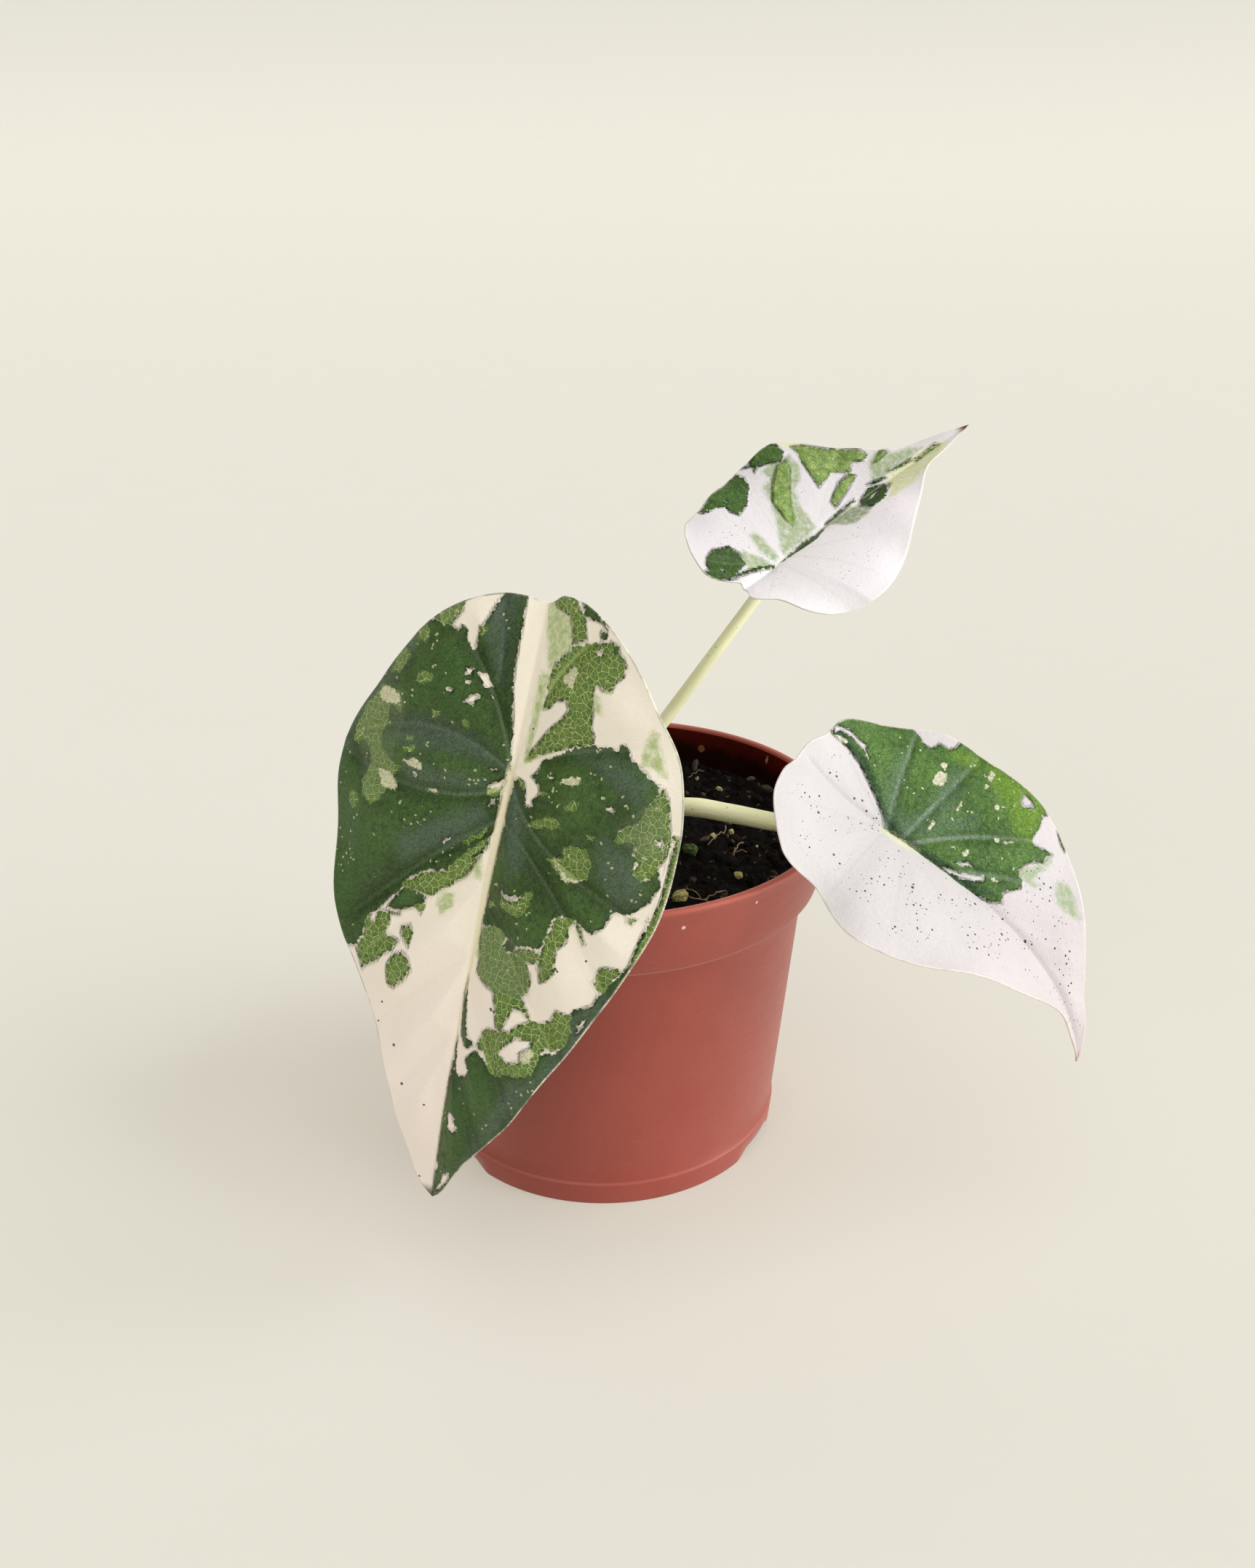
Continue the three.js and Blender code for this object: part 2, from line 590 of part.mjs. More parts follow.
const plant = new THREE.Group();
plant.add(named('rhizome', toGeometry(rhizome(0)), cormBrown));
for (const [place, blade] of Object.entries(BLADES)) {
  const colour = place === 'front' ? leafGreen : leafWhite;
  plant.add(named(`petiole_${place}`, petiole(PETIOLES[place], blade), stemGreen));
  plant.add(named(`leaf_blade_${place}`, leafBlade(blade), colour));
}

const pottedAlocasia = new THREE.Group();
pottedAlocasia.add(named('nursery_pot', nurseryPot(), terracotta));
pottedAlocasia.add(named('potting_soil', pottingSoil(), peat));
pottedAlocasia.add(plant);

export default pottedAlocasia;
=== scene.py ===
# A young potted alocasia with three white and green leaves: the finished look of each piece.
import math
import random

import bmesh
import bpy
import numpy as np
from mathutils import Matrix, Vector, noise


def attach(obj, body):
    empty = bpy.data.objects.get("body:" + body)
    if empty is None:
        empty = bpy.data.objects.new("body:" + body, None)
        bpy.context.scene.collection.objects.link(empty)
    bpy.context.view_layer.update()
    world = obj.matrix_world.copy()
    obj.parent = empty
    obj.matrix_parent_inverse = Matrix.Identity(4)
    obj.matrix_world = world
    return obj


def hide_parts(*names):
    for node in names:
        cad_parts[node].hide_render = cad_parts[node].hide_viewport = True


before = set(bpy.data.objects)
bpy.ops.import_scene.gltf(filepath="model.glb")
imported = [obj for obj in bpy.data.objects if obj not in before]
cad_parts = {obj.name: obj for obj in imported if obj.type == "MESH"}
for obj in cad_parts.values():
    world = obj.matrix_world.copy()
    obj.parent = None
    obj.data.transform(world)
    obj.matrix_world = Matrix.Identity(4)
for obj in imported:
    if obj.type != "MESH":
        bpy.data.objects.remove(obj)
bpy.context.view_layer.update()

MM = 0.001

# Camera: picture height and focal length in pixels, sensor and place in millimetres
IMAGE_HEIGHT = 2156
FOCAL_PIXELS = 2152.6
SENSOR = 36.0
CAMERA_AT = (0, -366.08, 261.01)
CAMERA_RIGHT = (0.99960, -0.02488, -0.01360)
CAMERA_UP = (0.02258, 0.40828, 0.91258)
CAMERA_FORWARD = (0.01716, 0.91252, -0.40867)

# Pot, in millimetres and degrees. Each chip has its place and size. LIP_ROWS are the rows of the
# profile between the top of the rim and the shaded inside.
POT_HEIGHT = 91.3
RIM_RADIUS = 60
BAND_BOTTOM = 73.2
BAND_BOTTOM_RADIUS = 55.9
BODY_TOP_RADIUS = 52.5
FOOT_RADIUS = 45.1
WALL = 1.25
BAND_WALL = 1.7
FOOT_STEP_HEIGHT = 7
FOOT_STEP = 0.45
BASE_UNDERSIDE = 2.6
BASE_TOP = 4
BOSS_RADIUS = 14
BOSS_THICKNESS = 1.6
BOSS_FLARE = 2.6
NOTCH_COUNT = 3
NOTCH_START = 61.75
NOTCH_HALF_ANGLE = 14.3
NOTCH_HEIGHT = 2.4
DRAIN_HOLES = 6
DRAIN_HOLE_RADIUS = 4
DRAIN_HOLE_SIDES = 32
DRAIN_RING_RADIUS = 30
POT_SEGMENTS = 288
LIP_ROWS = 3
CHIPS = [((18.1, -56, 86.1), 0.75), ((35.5, -47.3, 87.5), 0.6)]
STREAK_AT = (46.7, 34.2, 88)
SPOT_AT = (29.2, 49, 85.8)

# Soil. Its placed granules and sprout are (x, y, size), and its first fibre is (x, y, way, length).
SOIL_TOP = 81
SOIL_LUMP = 1.1
SOIL_SECTORS = 300
SOIL_RINGS = 100
GAP = 0.3
CLOD_REACH = 55.2
GRANULES = [(18.5, -33.8, 2.1), (33.4, -24.4, 1.2), (29.2, 3.4, 1.0), (32.6, 26.8, 1.1), (34.1, 4.5, 0.8)]
SPROUT = [(22.4, -7.8, 2.2), (23.8, -6.6, 1.5)]
FIBRES = 37
FIBRE_STEPS = 12
FIBRE_SIDES = 6
FIBRE_REACH = 54
FIRST_FIBRE = (23.8, -34.1, 0.45, 6)
NEARLY_UP = np.array([0.1, 0.2, 1])

# Rhizome, its profile as (radius, height)
CROWN_AT = np.array([-2.0, 0.0])
CROWN_TOP = 87
CROWN_RADIUS = 6.6
CORM_BOTTOM = 52
CORM_PROFILE = [
    (0.01, CORM_BOTTOM), (2.6, CORM_BOTTOM), (5.2, 60), (6.4, 70), (CROWN_RADIUS, 80),
    (CROWN_RADIUS, 81.6), (5.9, 82.4), (6.1, 84), (5, 84.8), (4.7, 86.6), (3.6, CROWN_TOP),
    (0.01, CROWN_TOP + 0.1),
]
CORM_RINGS = 90
CORM_SIDES = 48
ROOTS = 5
ROOT_TOP = 66
ROOT_REACH = 36
ROOT_RADII = (1.5, 0.6)
ROOT_POINTS = 30
ROOT_SIDES = 10

# Blades
BLADE_THICKNESS = 0.8
MARGIN_THICKNESS = 0.4
MIDRIB_DEPTH = 0.8
MIDRIB_WIDTH = 1.5
MIDRIB_GROOVE = 0.35
MIDRIB_GROOVE_WIDTH = 0.9
VEIN_DEPTH = 0.45
VEIN_WIDTH = 0.7
VEIN_GROOVE = 0.16
VEIN_GROOVE_WIDTH = 0.5
VEIN_POINTS = 17
PANEL_RISE = 1.1
PANEL_WIDTH = 5
MARGIN_WAVE = 0.7
DROOP_STEPS = 24
TONE_REACH = 3.5
MARGIN_ANGLES = [0, 2, 6, 14, 26, 42, 62, 84, 106, 126, 146, 162, 173, 180]
COMMON_VEINS = [
    [[0, 0], [0.08, -0.14], [0.16, -0.31]],
    [[0, 0], [0.18, -0.05], [0.38, -0.07]],
    [[0, 0.05], [0.15, 0.09], [0.42, 0.14]],
    [[0, 0.08], [0.12, 0.18], [0.28, 0.4]],
    [[0, 0.22], [0.09, 0.33], [0.2, 0.54]],
    [[0, 0.42], [0.06, 0.51], [0.14, 0.68]],
    [[0, 0.6], [0.03, 0.66], [0.08, 0.8]],
]
FRONT_VEINS_LEFT = [
    [[0, 0], [0.05, -0.14], [0.15, -0.23]],
    [[0.07, -0.17], [0.07, -0.25], [0.1, -0.34]],
    [[0, 0], [0.2, -0.1], [0.42, 0.04]],
    [[0, 0.03], [0.15, 0.13], [0.44, 0.07]],
    [[0, 0.1], [0.12, 0.19], [0.3, 0.4]],
    [[0, 0.22], [0.1, 0.27], [0.25, 0.47]],
    [[0, 0.4], [0.08, 0.47], [0.2, 0.63]],
    [[0, 0.58], [0.05, 0.64], [0.13, 0.77]],
]
FRONT_VEINS_RIGHT = [
    [[0, 0], [0.04, -0.22], [0.14, -0.3]],
    [[0.045, -0.2], [0.02, -0.27], [0.01, -0.34]],
    [[0, -0.01], [0.12, -0.09], [0.36, -0.15]],
    [[0.01, 0.02], [0.08, 0.14], [0.38, 0.2]],
    [[0, 0.1], [0.15, 0.16], [0.34, 0.36]],
    [[0, 0.28], [0.12, 0.36], [0.28, 0.55]],
    [[0, 0.47], [0.08, 0.54], [0.19, 0.7]],
    [[0, 0.63], [0.04, 0.68], [0.11, 0.81]],
]
BLADES = {
    "front": {
        "joint": (-19, -56.6, 125.8),
        "tip": (-0.234, -0.195, -0.953),
        "face": (-0.496, -0.818, 0.289),
        "left": [107, 103.2, 91.5, 74, 63, 57, 50.1, 46.6, 40.2, 37.8, 38, 38.2, 37.6, 37.2],
        "right": [107, 103, 91.6, 79.3, 64.6, 54.2, 47.9, 43.8, 42.4, 39.6, 40.3, 40.7, 39.7, 37.2],
        "veins": (FRONT_VEINS_LEFT, FRONT_VEINS_RIGHT),
        "droop": {"joint": 0, "tip": 0.27, "back": 0.3},
        "fold": {"joint": (0.19, 0.24), "tip": (0.07, 0.08), "back": (0.01, 0.18)},
        "curl": {"joint": (-1.11, -1.1), "tip": (0.03, 0.06), "back": (-0.03, 0.08)},
        "sweep": {"tip": -0.03, "back": -0.05},
        "relief": 1.4,
        "half_sectors": 230,
        "rings": 98,
    },
    "back": {
        "joint": (45.3, 9.9, 151.3),
        "tip": (0.681, 0.659, 0.321),
        "face": (0.254, -0.623, 0.74),
        "left": [66.9, 61, 50.8, 43.8, 37.7, 33.1, 30.3, 28.9, 25.4, 22.5, 18.3, 19.2, 15.1, 13.9],
        "right": [66.9, 60.6, 49.8, 42.6, 38, 36.3, 28.7, 24.3, 23.8, 26.1, 26.9, 25.2, 13.7, 13.9],
        "veins": (COMMON_VEINS, COMMON_VEINS),
        "droop": {"joint": -0.31, "tip": -0.2, "back": -0.92},
        "fold": {"joint": (0.82, 0.36), "tip": (0.01, 0), "back": (-0.52, 0.1)},
        "curl": {"joint": (-1.4, -1.34), "tip": (0, 0), "back": (-1.58, 0)},
        "sweep": {"tip": -0.1, "back": 0.15},
        "relief": 0.08,
        "half_sectors": 150,
        "rings": 70,
    },
    "right": {
        "joint": (67.5, -32.7, 98.1),
        "tip": (0.825, -0.277, -0.492),
        "face": (0.377, -0.379, 0.845),
        "left": [80, 73.1, 61.2, 51.8, 44.1, 38.8, 36.4, 35.1, 29.8, 33.4, 33.3, 31.2, 28.6, 28.1],
        "right": [80, 74.4, 64.6, 55.5, 49.6, 44.5, 38.3, 35.3, 30.8, 29.4, 29.5, 27.5, 28.3, 28.1],
        "veins": (COMMON_VEINS, COMMON_VEINS),
        "droop": {"joint": 0.23, "tip": 0.74, "back": -1.24},
        "fold": {"joint": (0.2, 0.35), "tip": (0.06, 0.35), "back": (-0.25, -0.15)},
        "curl": {"joint": (-1.33, -0.58), "tip": (0.01, 0.08), "back": (-0.04, -0.09)},
        "sweep": {"tip": -0.03, "back": 0.02},
        "relief": 0.25,
        "half_sectors": 200,
        "rings": 90,
    },
}

# Petioles: route from the crown, and half sizes of the section at the sheath, middle and neck.
PETIOLES = {
    "front": {
        "route": [(-3.4, -4.6, 83), (-4.7, -9.6, 91.5), (-7.2, -22, 109), (-11.4, -39, 120.5)],
        "sheath": (3.6, 1.9),
        "middle": (2.6, 2.4),
        "neck": (2.1, 2.1),
    },
    "back": {
        "route": [(-2, 0.2, 86), (3.2, 1.8, 95.3), (18.1, 4.3, 114.8), (29.1, 6.2, 129.4)],
        "sheath": (3, 2.7),
        "middle": (1.75, 1.65),
        "neck": (1.5, 1.5),
    },
    "right": {
        "route": [(1.6, -2.2, 83.4), (8.6, -6.2, 91.2), (21.3, -12.6, 96.1), (31.6, -15.6, 95.5),
                  (41.8, -19, 94.6), (54, -25.4, 94.9)],
        "sheath": (3.6, 1.9),
        "middle": (2.4, 2.2),
        "neck": (2, 2),
    },
}
PETIOLE_NECK = 5
PETIOLE_SIDES = 28
PETIOLE_STEPS = 150

# Colour patches of each blade, painted in this order over its pale ground. Every outline is a row
# of flat (x, t) pairs in millimetres: x right of the midrib, t from the joint towards the tip.
FRONT_PATCHES = [
    ("haze", [
        (0, -38, 3, -37.5, 6, -36.5, 8.5, -35.5, 9.5, -33, 9.7, -29.5, 7, -27, 5.5, -24, 4.5, -24,
         3.5, -26, 2, -30, 0.5, -34),
        (2.6, -23, 4.8, -23, 5, -12, 4.6, -4, 3.2, -1.5, 2.8, -10),
        (18.5, -22.5, 20, -22, 21.5, -18.5, 19.5, -18, 18.7, -20.5),
        (32.5, -18.5, 34, -18, 35, -15, 36.5, -13, 38, -10, 35, -11, 32, -11, 31.7, -14),
        (-10.5, 30.5, -7, 30, -6.5, 32.5, -9, 35.5, -11, 33.5),
        (-5, 20, -2.6, 20, -1.6, 25, -3.6, 25),
        (0.4, 35.5, 2.8, 36, 2.6, 42.5, 1, 42),
    ]),
    ("dark", [
        (-5.2, -39, -5, -36, -4.3, -30, -4, -23, -3.5, -18, -2.3, -13, -1.5, -8, -0.5, -0.5, -1, 0,
         -1.3, 13, -3, 20, -8, 22, -9.5, 25, -15, 27, -19, 30, -21, 34, -24, 38, -27.5, 42, -28.5, 47,
         -29.5, 50, -33, 51, -52, 52, -52, 5, -46, -8, -36, -18, -28.5, -26.5, -24, -27.2,
         -21.5, -27, -19, -26.5, -18.5, -27.6, -17.4, -27.4, -16.8, -25, -15.8, -24, -15, -23.2,
         -14.3, -24.5, -13.8, -27.5, -12.8, -30, -12, -33, -11, -36, -10.5, -39),
        (-17.5, 32, -13.5, 33, -14.5, 35, -16, 36, -20, 38, -23, 38.4, -20, 33),
        (10.5, -40.5, 14, -38.3, 17, -36.5, 18.5, -35.3, 16, -36.3, 14, -36.5, 12, -36.8),
        (16.5, -34.8, 18.5, -34.5, 18, -33, 16.7, -33.3),
        (19.8, -33.2, 22, -32.7, 22.3, -31.5, 23.5, -30.5, 21, -30.8),
        (1.2, 1.5, 6, -1, 8, -3.5, 8, -5, 12, -7.5, 16, -10, 20, -11.5, 24, -12.3, 26, -12,
         26.5, -13.5, 27.5, -14, 29, -13, 29.5, -11.5, 31.5, -10.7, 34, -9.8, 34.8, -8.8,
         37.3, -8, 37, -6, 35.5, -3.5, 35, -1, 34, 1, 31, 2.5, 30, 5.5, 32, 4.5, 34.5, 5, 34.5, 7,
         36, 8, 35.2, 10, 37, 12, 39, 11.5, 39.5, 9.5, 40, 8, 41.5, 12, 40, 16, 38, 18, 36.5, 20,
         33, 20.5, 32, 24, 30, 26, 27, 25.5, 25.5, 25, 22, 25, 20, 26, 20, 30, 19, 33.5, 16, 34,
         13, 35, 11.5, 37, 9, 38, 8.5, 36.5, 10, 35, 7, 33.5, 2, 34.5, 1, 35.5, 1, 20),
        (40.8, 19, 47, 20, 43, 32, 36, 50, 20, 78, 4, 112, 0, 112, 0.2, 70, 0.6, 62, 1.2, 62, 0.8, 66,
         1.8, 66, 1.8, 70, 3, 71, 5, 70.3, 6.8, 69, 7.2, 67.5, 5.3, 65.5, 6, 64.5, 7.5, 62.5, 10, 63.5,
         12.5, 65.5, 14, 66, 17, 63.8, 20, 63.3, 23.8, 60.5, 24.5, 56, 27.5, 55, 29.5, 52, 30, 48,
         29.3, 46, 30, 43.5, 33, 41.5, 34.5, 38.5, 36, 36, 38, 33, 39.5, 30),
        (0.2, 48, 1.2, 53, 2.3, 56, 3, 58.5, 4.5, 60.5, 6.5, 61.6, 5.8, 63, 3.8, 63, 1.6, 61, 0.7, 57,
         0, 52),
    ]),
    # Painted sheen: blue-grey patches where the raised panels between the veins reflect the light.
    ("painted_sheen", [
        (-31, -3, -26, -5.5, -18, -7, -8, -4.5, -1.5, -0.8, -8, -1, -18, 0, -26, 2, -30, 1),
        (-26, 5, -16, 4, -6, 3.5, -2, 4.5, -8, 6.5, -18, 8.5, -26, 9),
        (-24, 22, -14, 14, -5, 8.5, -3, 12, -9, 18.5, -15, 22, -22, 27),
        (-14, -33, -12, -36, -9, -38, -7, -38, -6.5, -28, -6.5, -18, -9, -22, -12, -28),
        (-49, 4, -45, -4, -36, -15, -30, -22, -33, -14, -40, -6, -44, 4, -46, 16, -49, 22),
        (1.5, 3, 4, 4, 7, 10, 9, 18, 7, 22, 3, 16, 1.5, 10),
        (17, -9, 24, -11, 30, -10, 35, -8, 34, -3, 30, -4, 24, -7),
        (27, 6, 33, 7, 38, 12, 38, 18, 33, 19, 28, 14),
        (30, 45, 36, 38, 37, 44, 26, 64, 20, 73, 12, 88, 6, 98, 14, 78, 18, 66, 25, 61),
    ]),
    ("bright", [
        (-46, 8, -38, 16, -32, 26, -32, 40, -40, 50, -47, 46, -50, 26),
        (-25, -24, -15, -21, -9, -13, -14, -7, -22, -8),
        (4, 66, 14, 67, 12, 76, 6, 86, 2, 80),
    ]),
    ("net", [
        (-19.5, -34, -19, -31, -20.5, -28.5, -21, -27, -24, -26.7, -26, -28, -22, -32),
        (-13.9, -28.5, -12.4, -29, -12.3, -27, -13.5, -26.4),
        (-38.5, -9, -36, -10, -31.5, -9.5, -30, -6.5, -31, -5, -34, -6.5, -34, -1.5, -35, 1, -33, 4,
         -30, 6, -27, 6.5, -29, 9, -27, 11.5, -30, 13, -31.5, 16, -33, 17, -36, 15.5, -37.5, 13,
         -36.5, 9, -37, 5, -40, 4, -43.5, 5.5, -44, 2, -42, -4, -39.5, -7),
        (-40.5, 16.2, -38, 16, -37, 18, -38.5, 20, -40.5, 18.5),
        (-28.5, -26, -26.3, -24.5, -26.5, -22, -29.5, -22),
        (-33.5, -20, -30.5, -18, -33, -13.5, -36, -13),
        (-27, -14.5, -25.5, -15.8, -23, -15.5, -22.7, -14.3, -25, -13, -27, -13),
        (-22.2, -8.5, -19.3, -8.5, -19.5, -7.2, -21.5, -6.3),
        (-13.8, -8.3, -12, -8, -12, -6.8, -13.5, -7),
        (-27.5, -0.7, -25.5, -1.2, -25, 0.2, -27.3, 0.2),
        (-27, 2, -24, 0.5, -23.7, 2, -26.5, 2.7),
        (-1, 2.5, -3, 3.5, -5, 5, -4.5, 6.5, -2, 6),
        (-8, 18.4, -3, 13.4, -2.6, 14.4, -6.4, 18.6),
        (-6.8, 20.2, -2, 15.6, -1.6, 17, -5, 20.6),
        (-6, 20, -3.5, 21, -5, 25, -9, 29, -10.5, 30, -12.5, 32.5, -17, 32, -19.5, 33, -21, 32,
         -18, 30, -15.5, 27.5, -10, 25.5, -8, 22),
        (-13.5, 34.5, -14, 37, -17, 36),
        (-21, 38.5, -19, 39, -22, 39.5, -21.5, 42, -22.5, 44.5, -18, 45, -19, 47, -21.5, 49,
         -22.5, 51, -26, 53.5, -27, 55, -29.5, 51, -28, 47, -27.5, 42, -25, 40),
        (-18.5, 41.5, -16, 40.5, -15, 41.5, -15, 45, -18, 43),
        (-18.5, 48.5, -16.5, 47, -14.5, 47.5, -13.5, 50, -15, 53, -17.5, 56, -19, 55.5, -19.8, 51),
        (0.6, -39.5, 4, -40, 8, -40, 10.5, -37.8, 12.5, -36.5, 13, -34, 13.5, -32.3, 10, -30.5,
         9.7, -33, 8.5, -36, 6, -36.5, 3, -37),
        (10, -29.8, 14, -31.5, 18, -32.5, 20, -33, 20.5, -31, 23.3, -30.8, 24.7, -29.3, 24, -28.3,
         24.5, -27.3, 22.8, -25.3, 22.5, -23.7, 20.5, -23.3, 18.7, -24.2, 18.3, -22, 19.3, -18,
         19.5, -15, 20.2, -14, 20, -11.8, 16, -10.2, 11, -7.8, 7, -5.5, 4.5, -3.5, 3.5, -3.5,
         5, -6.5, 8, -10.5, 9.5, -12.5, 12, -15, 13.2, -17.2, 12, -19, 9, -18.3, 8, -16.5,
         5.5, -15.5, 5.5, -19, 5.3, -22, 6.5, -25.5, 8.5, -28),
        (38, -8, 39.5, -6, 40.5, -2, 41.5, 2, 41.5, 6, 40, 8.5, 39, 11, 37.5, 12.3, 35.5, 10.5,
         36.2, 8.5, 34.8, 7, 34.5, 4.5, 32.5, 5, 30.5, 5.8, 30.3, 4, 32, 2, 34.5, 0.5, 35, -2,
         36.5, -5),
        (41.6, 1, 46, 1, 46, 20, 40, 30, 41.2, 20, 42, 12),
        (2.5, 0.5, 5.5, 0.8, 5.5, 2.5, 3.5, 2),
        (9, 0.8, 12.5, 1, 10, 2),
        (17, 2.5, 19, 0.5, 20.5, 0.5, 20.3, 1.8, 18, 2.7),
        (10.5, 7.5, 13, 6, 15.5, 5.3, 17, 6, 17.3, 7, 14, 8, 10.5, 9.3, 7.5, 9.3, 8.5, 8.5),
        (24, 6.2, 25.5, 6, 25.3, 7, 24, 7),
        (18.5, 11, 20, 9.8, 22.5, 9.8, 24.5, 9.3, 25, 10.5, 26.2, 12, 25.7, 14, 25.8, 15.7, 23, 17,
         21, 18, 18.5, 17, 15, 14.8, 16, 14, 18.8, 13),
        (5.5, 25.5, 7.5, 26, 10.5, 25.5, 12, 23, 13.5, 22.5, 14, 25, 13.2, 28, 11, 29, 6.5, 28.5),
        (2, 28.5, 4, 28, 4.5, 29.5, 2, 30.2),
        (20.5, 25.5, 23, 25, 25.5, 24.7, 24.2, 27, 24.5, 30, 23, 32, 23.3, 35, 23.8, 37,
         22.3, 39.5, 20.8, 40.5, 20, 37, 19.8, 31, 20.3, 29),
        (1.5, 35.5, 4, 34, 7, 33.7, 9, 34.5, 8.3, 36.5, 9.5, 38.2, 11.5, 37.5, 13.5, 35.5,
         15.5, 34.5, 18, 34.3, 19.7, 33.8, 19.8, 38, 17.5, 39, 18.2, 41, 17.7, 44, 16.5, 46,
         18.5, 48, 20.3, 50, 21.5, 50, 23.5, 49, 25, 48, 26, 45, 29.5, 45, 30.3, 48, 29.5, 52,
         27, 54.8, 24.5, 54.5, 24.4, 56, 23.8, 61, 20, 63.4, 17.5, 63.7, 14.5, 65.5, 12.5, 65.5,
         10, 62.5, 7.5, 61.5, 7.7, 58, 10, 56, 14, 55, 12, 54.5, 11, 50, 10, 48.3, 9.8, 47,
         6.5, 46.5, 2.8, 45, 3, 42, 1.5, 38),
        (33.2, 33, 34.5, 32, 37.5, 31.5, 38.5, 32, 37, 34, 35.8, 37, 34.5, 38, 32.7, 36),
        (36, 20.5, 38.4, 20.3, 37.6, 21.6, 36.4, 21.4),
        (25.4, 25.2, 26.4, 25.4, 28.8, 29, 28.2, 29.4),
    ]),
    ("mist", [
        (1.5, 34.5, 9, 33.5, 18, 35, 18, 46, 9, 47, 3, 45),
        (-44, -2, -38, -10, -30, -10, -29, 4, -30, 15, -36, 16),
        (-26, -28, -22, -33, -19, -32, -20, -27),
        (-35, -13, -30, -19, -27, -25, -31, -24, -36, -16),
        (30, 3, 37, -6, 41, 0, 41, 6, 36, 8),
    ]),
    ("cream", [
        (-15.5, -19.2, -13.5, -19.3, -13.8, -17.7, -15, -18),
        (-12.8, -19, -10, -19, -8.5, -16.7, -10, -16, -11.5, -17.5),
        (-14.6, -16.6, -13.8, -16.6, -13.8, -15.9, -14.6, -15.9),
        (-13.9, -11.8, -12.5, -14, -10.6, -14.3, -11.5, -12.3),
        (-8.1, -14.8, -7.4, -14.7, -7.5, -14.1, -8.1, -14.1),
        (-18.6, -13.7, -17, -13.9, -17.1, -13.2, -18.3, -13.1),
        (-23.3, 7.1, -22.4, 7, -22.4, 7.6, -23, 7.6),
        (-4.9, 0.4, -3, 0, -3.1, 0.5, -4.7, 0.9),
        (-1.4, 2, -3.6, 3.4, -4.8, 4.8, -3.2, 4.4, -1.2, 3.8),
        (-4, 8.7, -2.6, 6.4, -1.9, 6.4, -3.2, 8.9),
        (-12.7, 19.6, -11, 17.9, -10.7, 18.3, -12.2, 19.9),
        (-26.8, 40.6, -24.8, 40.4, -25.2, 42.8, -26.4, 43),
        (12.3, -35.7, 14.5, -36.3, 17, -36, 16.3, -34, 16.5, -32.3, 14, -31.8, 13.3, -33),
        (16.3, -30.7, 18, -31, 18.5, -30, 17.2, -29.3),
        (38.5, 3, 40, 2.5, 40, 4.5),
        (41.9, 2, 42.5, 2, 42.3, 14, 41.2, 21, 40.7, 20.4, 41.6, 13),
        (2, -3, 5, -4, 8, -5, 7.5, -2.5, 6.3, -1, 9, 0, 10, 1.5, 9, 3, 8, 4, 8.5, 5, 6, 5.8,
         5.8, 3, 5, 1, 3, 0.3),
        (11.5, -2.3, 12.8, -3, 12.5, -2),
        (26.8, -0.7, 28, -1.3, 28.6, -0.5, 27.5, 0),
        (5.4, 24.6, 7, 25.4, 10.4, 24.8, 11.4, 24, 10.6, 25.8, 7.5, 26.4, 6, 26),
        (15, 49, 17.5, 48.5, 20, 50, 17.5, 52, 16, 54, 14, 54, 15, 51),
        (14.8, 58.5, 18, 54.5, 21.5, 54, 22, 56, 20, 59.5, 17, 61.2, 14.2, 60),
        (16.2, 37.8, 19.5, 36.3, 19.7, 38.5, 17.5, 39.3),
        (0.8, 61.5, 2.5, 61.5, 4.5, 63.5, 7, 61.5, 6, 64.5, 5.3, 65.5, 7.2, 67.5, 6.8, 69, 5, 70.3,
         3, 71, 1.8, 70, 1.8, 66, 0.8, 63),
        (2.3, 80.8, 4, 80.7, 5.5, 83, 6, 84, 5, 85.2, 3, 85.3, 2.3, 83),
        (0, 96.5, 1, 97, 1.3, 98.3, 0, 99.3),
        (3.5, 97.5, 6, 96, 5.5, 99, 1, 104.5, 3, 100),
        (33.4, 39.6, 34.1, 39.4, 33.6, 41.4, 32.9, 41.2),
        (31.9, 45.4, 33, 44.4, 32.2, 48, 31.2, 48.6),
    ]),
    ("pale", [
        (-38.5, -8, -36, -9.7, -31.5, -9, -31, -7.2, -33.5, -6.6, -36.5, -5.8, -37.8, -6.6),
        (-33.8, 8.6, -30, 8.4, -27.6, 11, -27.4, 12, -31, 12.3, -33.4, 10.4),
        (-26.5, 5, -24, 3.8, -21.2, 3.6, -21.2, 5.5, -25, 5.5),
        (9, -22.8, 10.5, -25.5, 12, -26, 13.2, -25.3, 12.5, -23, 12.7, -21.8, 10.5, -22),
        (15, -3, 17, -4, 19, -4.8, 19.8, -3.8, 17.5, -2.3, 15, -2.3),
        (17.5, 14.6, 18.6, 16.4, 20.4, 17.8, 23, 17.2, 25.9, 15.6, 23, 16.6, 20.6, 17, 18.8, 15.6),
        (20.2, 59, 19.6, 57.6, 21.8, 55.4, 23, 57, 22.4, 59.2),
        (10.4, -22.6, 12.6, -22.6, 12.6, -21.7, 10.6, -21.9),
        (-19.2, 9, -16.8, 9, -16.6, 9.6, -19, 9.6),
    ]),
]

